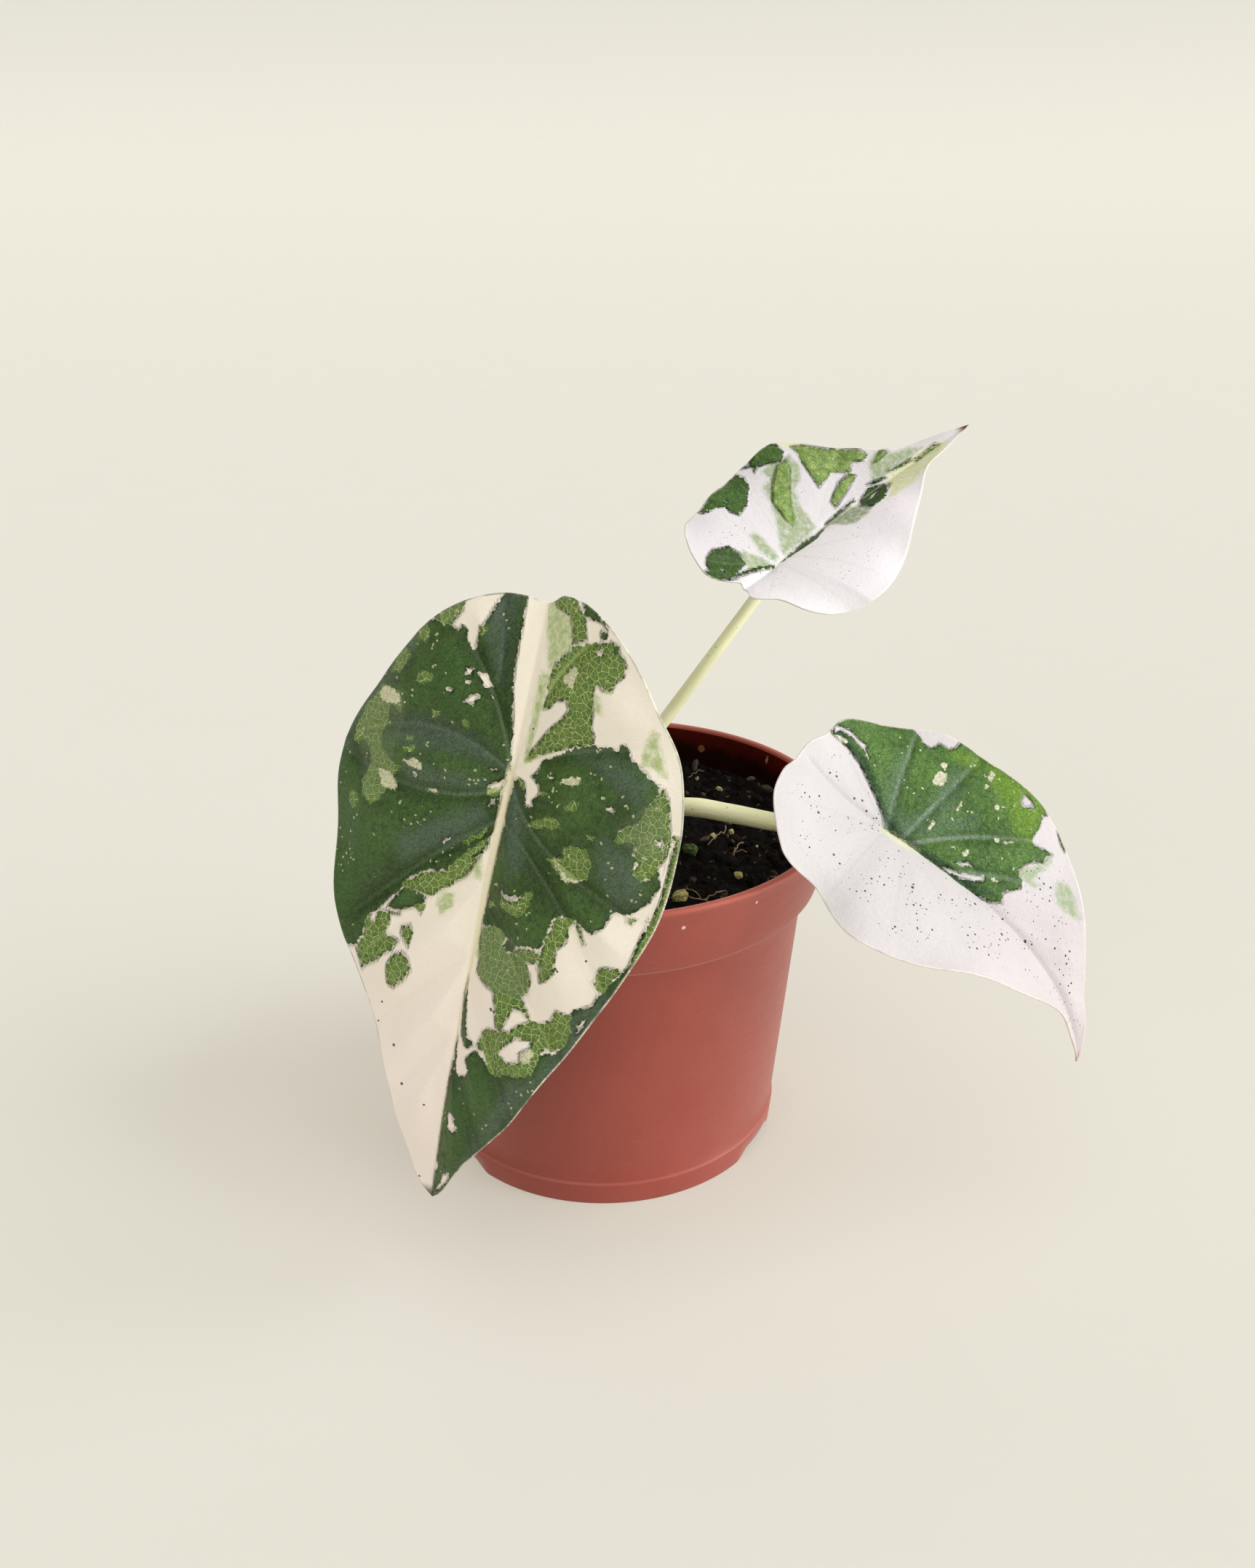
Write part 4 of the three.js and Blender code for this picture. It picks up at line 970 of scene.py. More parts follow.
RIGHT_LOOKS = {
    **SMALL_LEAF_LOOKS,
    "ground": (rgb(203, 197, 199), rgb(203, 194, 197)),
    "blush": (0, 80),
    "dark": (rgb(62, 100, 32), rgb(93, 131, 54)),
    "deep": rgb(26, 58, 34),
    "painted_sheen": rgb(94, 116, 100),
    "bright": rgb(120, 158, 34),
    "net": (rgb(104, 144, 66), rgb(128, 160, 84)),
    "net_line": rgb(168, 182, 166),
    "sage": rgb(158, 170, 134),
    "lime": rgb(222, 224, 178),
    "midrib_share": 0.0,
    "vein": rgb(168, 182, 166),
    "vein_share": 0.55,
    "vein_width": 1.0,
    "crease": 0.15,
    "margin": (rgb(236, 224, 216), rgb(240, 220, 214)),
    "light_specks": 0.3,
    "dark_specks": 1.0,
    "speck": rgb(26, 26, 12),
    "dots": [(-14, 10.8, 0.45), (-13, 10.7, 0.3), (-4.2, 26.4, 0.4), (-6.6, 35.2, 0.45), (-19, -8.8, 0.35),
             (2.8, -17.4, 0.35), (1.6, -10.6, 0.35), (2.6, -8.7, 0.35), (-7.4, -18.8, 0.35),
             (-11.8, -17, 0.4), (-6, 37.3, 0.35), (0.5, 42.8, 0.35)],
    "tip": rgb(190, 150, 140),
}

# How far a tone fades on each side of its edge, in millimetres, and how fully it covers what is below.
SOFT_TONES = {
    "haze": (0.8, 1.0),
    "lime": (1.2, 0.85),
    "painted_sheen": (2.4, 0.72),
    "mist": (1.2, 0.3),
    "deep": (1.2, 0.95),
    "bright": (2.4, 0.75),
}
ONLY_ON_GREEN = ("painted_sheen", "deep", "bright")
PLAIN_TONES = ("mist", "deep", "bright", "lime")
CRISP_EDGE = 0.1
WIDE_CELLS = 1.6
FINE_CELLS = 0.8


def leaf_lines(s, flat):
    """Small cells between the veins: how strongly a line shows, cell shade, and pull to cell middles."""
    waver = s.vector("SUBTRACT", s.noise(flat, 2.6, 1, output="Color"), (0.5, 0.5, 0.5))
    bent = s.vector("MULTIPLY_ADD", waver, (1.0, 1.0, 0), flat)
    pull = None
    lines = []
    for size, width, strength, share in ((WIDE_CELLS, 0.075, 0.95, 0.25), (FINE_CELLS, 0.09, 0.5, 0.5)):
        edge = s.cells(bent, size, feature="DISTANCE_TO_EDGE")
        lines.append(s.step(edge, width * 0.25, width, strength, 0))
        part = s.scaled(s.vector("SUBTRACT", s.cells(bent, size, "Position"), bent), share)
        pull = part if pull is None else s.vector("ADD", pull, part)
    line = s.math("MAXIMUM", *lines)
    shade = s.split(s.cells(bent, FINE_CELLS, "Color"))[0]
    return line, shade, s.vector("MULTIPLY", pull, (1, 1, 0))


def leaf_tones(s, looks, flat, side_vein, line, shade):
    """The colour of every tone that the patches are painted in."""
    x, t, _ = s.split(flat)
    from_joint = s.math("SQRT", s.vector("DOT_PRODUCT", flat, flat))
    vein = s.step(side_vein, 0.05, looks["vein_width"], 1, 0)
    vein = s.math("MULTIPLY", vein, s.step(from_joint, 4, 42, 1.0, 0.25))
    clouds = s.noise(flat, 13, 3)
    mottle = s.noise(flat, 2.2, 3, 0.65)
    grain = s.noise(flat, 0.5, 2)
    ground = s.mix(s.step(t, *looks["blush"]), *looks["ground"])
    # Painted shade: a darker ground on the right half, to even out the light on the two halves.
    if "painted_shade_right_half" in looks:
        ground = s.mix(s.step(x, -3, 3), ground, looks["painted_shade_right_half"])
    ground = s.mix(s.math("MULTIPLY", vein, 0.12), ground, looks["net_line"])
    ground = s.mix(s.step(grain, 0.3, 0.7, 0.0, 0.1), ground, looks["midrib"])
    dark = s.mix(s.step(clouds, 0.35, 0.65), *looks["dark"])
    dark = s.mix(s.step(mottle, 0.45, 0.75, 0, 0.45), dark, looks["dark"][1])
    dark = s.mix(s.step(mottle, 0.25, 0.5, 0.5, 0), dark, looks["deep"])
    # Painted light and shade of fine wrinkles: flecks lighter and darker than the dark green.
    crinkle_shading = s.noise(flat, 1.2, 4, 0.72)
    dark = s.mix(s.step(crinkle_shading, 0.5, 0.68, 0, 0.55), dark, looks["net"][0])
    dark = s.mix(s.step(crinkle_shading, 0.36, 0.5, 0.5, 0), dark, looks["deep"])
    # Painted shade: the dark green turns deep beside the side veins, as strongly as crease says.
    dark = s.mix(s.step(side_vein, 0.6, 4.5, looks["crease"], 0), dark, looks["deep"])
    dark = s.mix(s.math("MULTIPLY", line, 0.2), dark, looks["net"][1])
    dark = s.mix(s.math("MULTIPLY", vein, looks["vein_share"]), dark, looks["vein"])
    net = s.mix(shade, *looks["net"])
    net = s.mix(s.step(clouds, 0.4, 0.65, 0.0, 0.5), net, looks["net"][0])
    net = s.mix(s.math("MAXIMUM", line, vein), net, looks["net_line"])
    sage = s.mix(s.step(mottle, 0.4, 0.7, 0.0, 0.4), looks["sage"], looks["net"][1])
    sage = s.mix(s.step(mottle, 0.25, 0.45, 0.5, 0.0), sage, looks["ground"][0])
    sage = s.mix(s.math("MULTIPLY", line, 0.25), sage, looks["net_line"])
    fresh = s.mix(s.step(mottle, 0.35, 0.65), *looks["net"])
    fresh = s.mix(s.math("MULTIPLY", line, 0.3), fresh, looks["net_line"])
    tones = {tone: looks[tone] for tone in PLAIN_TONES if tone in looks}
    tones.update(cream=ground, dark=dark, net=net, haze=sage, fresh=fresh,
                 pale=s.mix(0.35, looks["lime"], looks["ground"][0]))
    # Painted sheen, flecked by the painted wrinkle shading.
    if "painted_sheen" in looks:
        tones["painted_sheen"] = s.mix(s.step(crinkle_shading, 0.38, 0.62, 0.0, 0.55), looks["painted_sheen"], looks["dark"][1])
    return tones


def leaf_specks(s, looks, flat, to_edge, colour, leafy):
    """Scattered pale specks on the dark areas, dark ones on the pale areas, and the largest dots."""
    spread = s.noise(flat, 9, 2)
    dot = s.split(s.cells(flat, 0.5, "Color"))[0]
    limit = s.step(spread, 0.5, 0.75, 1.0, 1 - 0.11 * looks["light_specks"])
    light = s.math("MULTIPLY", s.math("GREATER_THAN", dot, limit), leafy)
    colour = s.mix(s.math("MULTIPLY", light, 0.85), colour, looks["lime"])
    if looks["dark_specks"]:
        inland = s.step(to_edge, 1, 7, 0.0, looks["dark_specks"])
        for size, at_least in ((1.6, 0.4), (1.0, 0.72)):
            middle = s.cells(flat, size)
            chance = s.split(s.cells(flat, size, "Color"))[1]
            limit = s.step(chance, at_least, 1.0, 0.0, 0.19)
            limit = s.math("MULTIPLY", limit, s.math("MULTIPLY", inland, s.step(spread, 0.38, 0.58)))
            speck = s.step(s.math("SUBTRACT", limit, middle), 0, 0.03, 0, 0.95)
            speck = s.math("MULTIPLY", speck, s.math("SUBTRACT", 1, leafy))
            colour = s.mix(speck, colour, looks["speck"])
    for x, t, size in looks["dots"]:
        away = s.vector("DISTANCE", flat, (x, t, 0))
        colour = s.mix(s.step(away, size * 0.7, size * 1.1, 0.9, 0), colour, looks["speck"])
    return colour


def leaf_skin(name, length, patches, looks, under):
    """Pale ground with painted patches whose edges follow the small cells between the veins."""
    s = Shader(f"{name}_{'under' if under else 'upper'}")
    flat = s.attribute("flat")
    side_vein, to_edge, leafy = s.split(s.attribute("lie"))
    x, t, _ = s.split(flat)
    line, shade, pull = leaf_lines(s, flat)
    tones = leaf_tones(s, looks, flat, side_vein, line, shade)
    patchy = s.step(s.noise(flat, 1.5, 3, 0.6), 0.3, 0.6, 0.55, 1.0)

    colour = tones["cream"]
    green = 0.0
    for index, (tone, _) in enumerate(patches):
        field = s.attribute(f"tone_{index}")
        depth = s.split(field)[2]
        moved = s.math("ADD", depth, s.vector("DOT_PRODUCT", field, pull))
        if tone in SOFT_TONES:
            width, share = SOFT_TONES[tone]
            mask = s.math("MULTIPLY", s.step(moved, -width, width, 0, share), patchy)
            if tone in ONLY_ON_GREEN:
                mask = s.math("MULTIPLY", mask, green)
        else:
            mask = s.step(moved, -CRISP_EDGE, CRISP_EDGE)
            green = s.blend(mask, green, 0.0 if tone == "cream" else 1.0)
        colour = s.mix(mask, colour, tones[tone])
    colour = leaf_specks(s, looks, flat, to_edge, colour, green)

    reach, at_joint, far_out = looks["midrib_reach"]
    rib_half = s.step(t, 0, reach, at_joint, far_out)
    rib = s.step(s.math("SUBTRACT", s.math("ABSOLUTE", x), rib_half), -0.2, 0.2, 1.0, 0.0)
    rib = s.math("MULTIPLY", rib, s.step(t, -3, 1, 0.0, looks["midrib_share"]))
    colour = s.mix(rib, colour, looks["midrib"])
    broken = s.step(s.noise(flat, 5, 3), 0.35, 0.6, 0.15, 0.85)
    margin = s.math("MULTIPLY", s.step(to_edge, 0.1, 0.38, 1, 0), broken)
    colour = s.mix(margin, colour, s.mix(s.step(s.math("ADD", x, t), 40, 60), *looks["margin"]))
    colour = s.mix(s.step(t, length - 4, length - 1), colour, looks["tip"])
    if under:
        colour = s.mix(0.45, colour, rgb(176, 190, 156))

    grain = s.noise(flat, 0.5, 2)
    sunk = s.math("MULTIPLY", line, s.blend(leafy, -0.08, -0.8))
    height = s.math("ADD", sunk, s.math("MULTIPLY", grain, 0.25))
    normal = s.bump(height, 0.26, 1.0)
    swell = s.math("MULTIPLY", s.noise(flat, 3, 4, 0.65), s.blend(leafy, 0.15, 1.0))
    normal = s.bump(swell, 1.4, 0.9, below=normal)
    bank = s.math("MULTIPLY", s.step(side_vein, 0, 2.4), leafy)
    normal = s.bump(bank, 0.8, 0.9, below=normal)
    roughness = s.step(grain, 0.2, 0.8, 0.33, 0.45)
    return s.finish(Base_Color=colour, Roughness=roughness, Normal=normal,
                    Specular_IOR_Level=looks["shine"], Subsurface_Weight=0.08,
                    Subsurface_Radius=(1.0, 0.8, 0.5), Subsurface_Scale=0.0012)


# Petioles

def smooth_route(points, steps):
    """Evenly spaced places and directions on a centripetal curve through the points."""
    points = np.array(points, float)
    padded = np.vstack([2 * points[0] - points[1], points, 2 * points[-1] - points[-2]])
    rows = []
    for p0, p1, p2, p3 in zip(padded, padded[1:], padded[2:], padded[3:]):
        k0 = 0.0
        k1 = k0 + np.linalg.norm(p1 - p0) ** 0.5
        k2 = k1 + np.linalg.norm(p2 - p1) ** 0.5
        k3 = k2 + np.linalg.norm(p3 - p2) ** 0.5
        k = np.linspace(k1, k2, 41)[:, None]
        a = ((k1 - k) * p0 + (k - k0) * p1) / (k1 - k0)
        b = ((k2 - k) * p1 + (k - k1) * p2) / (k2 - k1)
        c = ((k3 - k) * p2 + (k - k2) * p3) / (k3 - k2)
        d = ((k2 - k) * a + (k - k0) * b) / (k2 - k0)
        e = ((k3 - k) * b + (k - k1) * c) / (k3 - k1)
        rows.append((((k2 - k) * d + (k - k1) * e) / (k2 - k1))[:-1])
    rows.append(points[-1:])
    curve = np.concatenate(rows)
    length = np.concatenate([[0], np.cumsum(np.linalg.norm(np.diff(curve, axis=0), axis=1))])
    at = np.linspace(0, length[-1], steps + 1)
    places = np.stack([np.interp(at, length, curve[:, axis]) for axis in range(3)], 1)
    ways = np.gradient(places, axis=0)
    return places, ways / np.linalg.norm(ways, axis=1)[:, None]


def tube(places, ways, side, sizes, sides, dent=None):
    """Skin of an oval stem along a route. The section's second size lies towards the side."""
    turn = np.linspace(0, 2 * np.pi, sides, endpoint=False)
    rings = []
    for index, (place, way) in enumerate(zip(places, ways)):
        through = unit(side - way * np.dot(side, way))
        across = np.cross(through, way)
        wide, deep = sizes[index]
        ring = (place + across * (wide * np.cos(turn))[:, None]
                + through * (deep * np.sin(turn))[:, None])
        if dent is not None:
            ring = ring + dent(index, turn)[:, None] * (ring - place)
        rings.append(ring)
    return np.concatenate(rings), ring_skin(len(places), sides)


def petiole_skin():
    """Pale yellow green with fine lengthwise streaks and brownish flecks, tan at the foot."""
    s = Shader("petiole")
    at = s.place()
    along, turn, _ = s.split(s.attribute("run"))
    lengthwise = s.node("ShaderNodeCombineXYZ", s.math("MULTIPLY", along, 0.12), turn)
    streaks = s.noise(lengthwise.outputs[0], 0.55, 3)
    colour = s.mix(s.step(streaks, 0.35, 0.7), rgb(253, 249, 208), rgb(240, 243, 186))
    colour = s.mix(s.step(s.noise(at, 9, 2), 0.3, 0.8, 0, 0.6), colour, rgb(252, 247, 212))
    foot = s.step(along, 0, 22, 0.7, 0)
    colour = s.mix(foot, colour, rgb(222, 206, 164))
    fleck = s.math("LESS_THAN", s.cells(at, 2.4, flat=False), 0.13)
    colour = s.mix(s.math("MULTIPLY", fleck, 0.35), colour, rgb(120, 118, 72))
    normal = s.bump(s.math("ADD", streaks, s.noise(at, 0.4, 2)), 0.15, 0.5)
    return s.finish(Base_Color=colour, Roughness=0.48, Normal=normal, Subsurface_Weight=0.1,
                    Subsurface_Radius=(1.0, 0.9, 0.5), Subsurface_Scale=0.002)


def petiole(name, shape, blade, skin):
    """Stem that widens into a sheath at the crown and into a collar under the blade."""
    tip, face, _ = blade_axes(blade)
    joint = np.array(blade["joint"], float)
    route = [np.array(at, float) for at in shape["route"]]
    route += [joint - face * PETIOLE_NECK, joint - face * 0.5]
    places, ways = smooth_route(route, PETIOLE_STEPS)
    along = np.linspace(0, 1, PETIOLE_STEPS + 1)
    low = smooth_step(along / 0.35)[:, None]
    high = smooth_step((along - 0.4) / 0.6)[:, None]
    sizes = np.array(shape["sheath"]) * (1 - low) + np.array(shape["middle"]) * low
    sizes = sizes * (1 - high) + np.array(shape["neck"]) * high
    collar = smooth_step((along - 0.955) / 0.045) ** 2
    sizes = sizes * (1 + 0.35 * collar)[:, None]
    side = route[0] - np.array([*CROWN_AT, 0])
    side[2] = 0.3
    side = unit(side)

    def dent(index, turn):
        """A shallow channel on the inner side of the sheath, and fine ridges all round."""
        channel = 0.22 * (1 - along[index] / 0.3) if along[index] < 0.3 else 0
        inner = np.exp(-((np.mod(turn - 1.5 * np.pi + np.pi, 2 * np.pi) - np.pi) / 0.5) ** 2)
        return 0.012 * np.sin(9 * turn + 3 * along[index]) - channel * inner

    points, faces = tube(places, ways, side, sizes, PETIOLE_SIDES, dent)
    length = np.linalg.norm(np.diff(places, axis=0), axis=1).sum()
    turn = np.linspace(0, 2 * np.pi, PETIOLE_SIDES, endpoint=False)
    run = np.zeros((len(points), 3))
    run[:, 0] = np.repeat(along * length, PETIOLE_SIDES)
    run[:, 1] = np.tile(2.4 * np.abs(turn - np.pi), len(places))
    piece = build_mesh(f"petiole_stalk_{name}", points, faces, [skin], attributes={"run": run})
    settle(piece, "petiole_skin", f"petiole_{name}")


# Rhizome

def rhizome_skin():
    """Brown rings of old leaf scars, with paler patches."""
    s = Shader("rhizome")
    at = s.place()
    rings = s.noise(s.vector("MULTIPLY", at, (0.25, 0.25, 1.6)), 1.2, 4)
    colour = s.mix(s.step(rings, 0.35, 0.65), rgb(150, 132, 92), rgb(96, 74, 50))
    colour = s.mix(s.step(s.noise(at, 4, 3), 0.5, 0.7), colour, rgb(186, 178, 128))
    normal = s.bump(rings, 0.5, 0.8)
    return s.finish(Base_Color=colour, Roughness=0.75, Normal=normal)


def corm():
    """Points and faces of the upright stem, with the rings of old leaf scars."""
    profile = np.array(CORM_PROFILE)
    share = np.concatenate([[0], np.cumsum(np.hypot(*np.diff(profile, axis=0).T))])
    at = np.linspace(0, share[-1], CORM_RINGS)
    radius = np.interp(at, share, profile[:, 0])
    height = np.interp(at, share, profile[:, 1])
    points = []
    for r, z in zip(radius, height):
        for angle in np.linspace(0, 2 * np.pi, CORM_SIDES, endpoint=False):
            place = Vector((r * math.cos(angle), r * math.sin(angle), z))
            rough = 0.35 * noise.fractal(place * 0.5, 1, 2, 3) * min(1, r / 3)
            rough += 0.2 * math.sin(z * 2.6 + 0.5 * math.sin(angle * 2)) * min(1, r / 3)
            points.append(((r + rough) * math.cos(angle) + CROWN_AT[0], (r + rough) * math.sin(angle), z))
    return points, ring_skin(CORM_RINGS, CORM_SIDES)


def root(index):
    """Points and faces of one root that grows outwards and bends down."""
    angle = 2 * math.pi * (index + 0.12 * math.sin(5 * index)) / ROOTS
    way = np.array([math.cos(angle), math.sin(angle), 0])
    start = np.array([*CROWN_AT, ROOT_TOP - 2 * (index % 3)]) + way * 3
    reach = ROOT_REACH * (0.8 + 0.25 * math.sin(2.1 * index + 1))
    middle = start + way * reach * 0.55 - np.array([0, 0, reach * 0.15])
    end = start + way * reach * 0.75 - np.array([0, 0, reach * 0.8])
    curve = bow(start, middle, end, ROOT_POINTS)
    ways = np.gradient(curve, axis=0)
    thick, thin = ROOT_RADII
    sizes = np.repeat(thick + (thin - thick) * np.linspace(0, 1, ROOT_POINTS)[:, None], 2, axis=1)
    return tube(curve, ways / np.linalg.norm(ways, axis=1)[:, None], NEARLY_UP, sizes, ROOT_SIDES)


def rhizome():
    """Short upright stem with its roots in the soil, as one piece."""
    points, faces = join([corm()] + [root(index) for index in range(ROOTS)])
    piece = build_mesh("rhizome_stem", points, faces, [rhizome_skin()])
    settle(piece, "rhizome_skin", "rhizome")


# Soil

def soil_height(x, y):
    """Height of the soil at a place, without its crumbs."""
    swell = math.sin(x * 0.11 + 0.6) * math.cos(y * 0.13 - 0.4)
    lumps = math.sin(x * 0.47 + y * 0.21) * math.sin(y * 0.43 - x * 0.17 + 1.3)
    away = float(smooth_step((math.hypot(x - CROWN_AT[0], y - CROWN_AT[1]) - 12) / 12))
    at_wall = float(smooth_step((math.hypot(x, y) - 44) / 12))
    return SOIL_TOP + away * (SOIL_LUMP * (swell + 0.7 * lumps) + 0.9 * at_wall)


def body_radius(height):
    """Outer radius of the pot's body."""
    foot = FOOT_RADIUS - FOOT_STEP
    return foot + (BODY_TOP_RADIUS - foot) * height / BAND_BOTTOM


def band_radius(height):
    """Outer radius of the pot's rim band."""
    climb = (height - BAND_BOTTOM) / (POT_HEIGHT - BAND_BOTTOM)
    return BAND_BOTTOM_RADIUS + (RIM_RADIUS - BAND_BOTTOM_RADIUS) * climb


def soil_skin(name, dark, light, share):
    """Peat: nearly black, with brown crumbs and bits, and smoother in places."""
    s = Shader(name)
    at = s.place()
    crumbs = s.noise(at, 1.6, 5, 0.7)
    bits = s.split(s.cells(at, 1.1, "Color", flat=False))[0]
    colour = s.mix(s.step(crumbs, 0.45, 0.75), dark, light)
    bright = s.math("GREATER_THAN", bits, 1 - share)
    colour = s.mix(s.math("MULTIPLY", bright, 0.6), colour, rgb(104, 84, 60))
    normal = s.bump(crumbs, 1.2, 0.9)
    roughness = s.step(s.noise(at, 6, 2), 0.3, 0.7, 0.7, 0.95)
    return s.finish(Base_Color=colour, Roughness=roughness, Normal=normal, Specular_IOR_Level=0.1)


def soil_body(skin):
    """The soil down to the pot's floor, with a crumbly upper surface."""
    edge = band_radius(SOIL_TOP + 0.6) - BAND_WALL - GAP
    turn = np.linspace(0, 2 * np.pi, SOIL_SECTORS, endpoint=False)
    points = [(0, 0, SOIL_TOP - 0.6)]
    for ring in range(1, SOIL_RINGS + 1):
        radius = edge * ring / SOIL_RINGS
        for angle in turn:
            x, y = radius * math.cos(angle), radius * math.sin(angle)
            place = Vector((x, y, 3.3))
            lump = noise.fractal(place * 0.22, 0.9, 2.1, 5)
            grit = noise.voronoi(place * 0.62)[0][0]
            calm = min(1, (edge - radius) / 1.5)
            away = min(1, math.hypot(x - CROWN_AT[0], y) / 12)
            height = soil_height(x, y) + (0.9 * lump + 1.1 * (0.45 - grit)) * calm * away - 0.25
            points.append((x, y, height))
    lower = [(edge - 0.4, BAND_BOTTOM + 2.2), (body_radius(BAND_BOTTOM) - WALL - GAP, BAND_BOTTOM + 0.9),
             (body_radius(BASE_TOP) - WALL - GAP, BASE_TOP + 1.5), (BOSS_RADIUS, BASE_TOP + GAP)]
    for radius, height in lower:
        points += [(radius * math.cos(angle), radius * math.sin(angle), height) for angle in turn]
    points.append((0, 0, BASE_TOP + GAP))
    around = [(a, (a + 1) % SOIL_SECTORS) for a in range(SOIL_SECTORS)]
    starts = range(1, len(points) - 1, SOIL_SECTORS)
    faces = [(0, 1 + a, 1 + b) for a, b in around]
    for start, below in zip(starts, starts[1:]):
        faces += [(start + a, below + a, below + b, start + b) for a, b in around]
    faces += [(len(points) - 1, starts[-1] + b, starts[-1] + a) for a, b in around]
    settle(build_mesh("soil_body", points, faces, [skin]), "potting_mix", "potting_soil")


def unit_lump():
    """The 42 corners of a ball of radius one, and its faces."""
    mesh = bpy.data.meshes.new("lump")
    ball = bmesh.new()
    bmesh.ops.create_icosphere(ball, subdivisions=2, radius=1)
    ball.to_mesh(mesh)
    ball.free()
    corners = np.array([corner.co[:] for corner in mesh.vertices])
    faces = [tuple(face.vertices) for face in mesh.polygons]
    bpy.data.meshes.remove(mesh)
    return corners, faces


def scattered(draw, count, sizes):
    """Places and sizes of crumbs strewn over the soil."""
    places = []
    for _ in range(count):
        turn = 2 * math.pi * draw.random()
        size = sizes[0] + (sizes[1] - sizes[0]) * draw.random() ** 2
        away = min(9 + 46 * math.sqrt(draw.random()), CLOD_REACH - size)
        places.append((away * math.cos(turn), away * math.sin(turn), size))
    return places


def soil_clods(name, skin, draw, places, squash, lump):
    """Loose crumbs of one kind, lying on the soil."""
    corners, faces = lump
    bodies = []
    for x, y, size in places:
        spin = np.array(Vector([draw.gauss(0, 1) for _ in range(3)]).to_track_quat("Z", "Y").to_matrix())
        shape = np.array([1, 0.55 + 0.4 * draw.random(), squash * (0.7 + 0.6 * draw.random())])
        seed = Vector((draw.random() * 50, draw.random() * 50, 0))
        rough = np.array([1 + 0.35 * noise.noise(Vector(corner) * 1.4 + seed) for corner in corners])
        body = (corners * rough[:, None] * shape * size) @ spin.T
        bodies.append((body + [x, y, soil_height(x, y) + size * 0.25], faces))
    settle(build_mesh(name, *join(bodies), [skin], smooth=False), "potting_mix")


def soil_fibre(draw, index):
    """Points and faces of one fibre that wanders over the soil."""
    turn = 2 * math.pi * draw.random()
    away = 12 + 40 * math.sqrt(draw.random())
    way = 2 * math.pi * draw.random()
    length = 4 + 9 * draw.random()
    x, y = away * math.cos(turn), away * math.sin(turn)
    if index == 0:
        x, y, way, length = FIRST_FIBRE
    curve = []
    for step in range(FIBRE_STEPS + 1):
        share = step / FIBRE_STEPS
        way += draw.gauss(0, 0.22)
        x += math.cos(way) * length / FIBRE_STEPS
        y += math.sin(way) * length / FIBRE_STEPS
        far = math.hypot(x, y)
        if far > FIBRE_REACH:
            x, y = x * FIBRE_REACH / far, y * FIBRE_REACH / far
        curve.append((x, y, soil_height(x, y) + 0.9 + 1.2 * math.sin(math.pi * share) * draw.random()))
    curve = np.array(curve)
    ways = np.gradient(curve, axis=0)
    ways /= np.linalg.norm(ways, axis=1)[:, None] + 1e-9
    sizes = np.full((len(curve), 2), 0.09 + 0.12 * draw.random())
    return tube(curve, ways, NEARLY_UP, sizes, FIBRE_SIDES)


def soil_fibres(skin, draw):
    """Thin roots and fibres of the potting mix, most of them lying on it."""
    bodies = [soil_fibre(draw, index) for index in range(FIBRES)]
    settle(build_mesh("soil_fibres", *join(bodies), [skin]), "potting_mix")


def plain_grain(name, low, high, size, rough):
    """A dull skin mottled between two colours."""
    s = Shader(name)
    at = s.place()
    mottle = s.noise(at, size, 4)
    colour = s.mix(s.step(mottle, 0.35, 0.7), low, high)
    return s.finish(Base_Color=colour, Roughness=rough, Normal=s.bump(mottle, 0.4, 0.6))


def soil():
    """The filling, the four kinds of loose crumbs on it, and its fibres."""
    draw = random.Random(5)
    lump = unit_lump()
    soil_body(soil_skin("peat", rgb(9, 6, 5), rgb(28, 19, 14), 0.02))
    crumb_skin = soil_skin("peat_crumbs", rgb(13, 9, 7), rgb(42, 30, 22), 0.04)
    soil_clods("soil_crumbs", crumb_skin, draw, scattered(draw, 420, (0.6, 2.1)), 0.8, lump)
    bark = plain_grain("bark", rgb(48, 33, 24), rgb(80, 60, 42), 1.2, 0.85)
    soil_clods("soil_bark", bark, draw, scattered(draw, 60, (0.9, 2.4)), 0.35, lump)
    grit = plain_grain("grit", rgb(134, 126, 76), rgb(186, 176, 104), 0.8, 0.8)
    soil_clods("soil_grit", grit, draw, GRANULES + scattered(draw, 20, (0.4, 0.9)), 0.9, lump)
    moss = plain_grain("moss", rgb(44, 66, 24), rgb(88, 104, 44), 0.7, 0.9)
    soil_clods("soil_moss", moss, draw, SPROUT + scattered(draw, 20, (0.6, 1.4)), 0.5, lump)
    soil_fibres(plain_grain("fibre", rgb(104, 84, 60), rgb(150, 126, 94), 1.0, 0.7), draw)


# Pot

def notch_lift(angle):
    """How high the foot's edge is cut away at an angle, in degrees."""
    step = 360 / NOTCH_COUNT
    off = abs((angle + 90 - NOTCH_START + step / 2) % step - step / 2)
    share = off / NOTCH_HALF_ANGLE
    return NOTCH_HEIGHT * float(1 - smooth_step((share - 0.45) / 0.55))


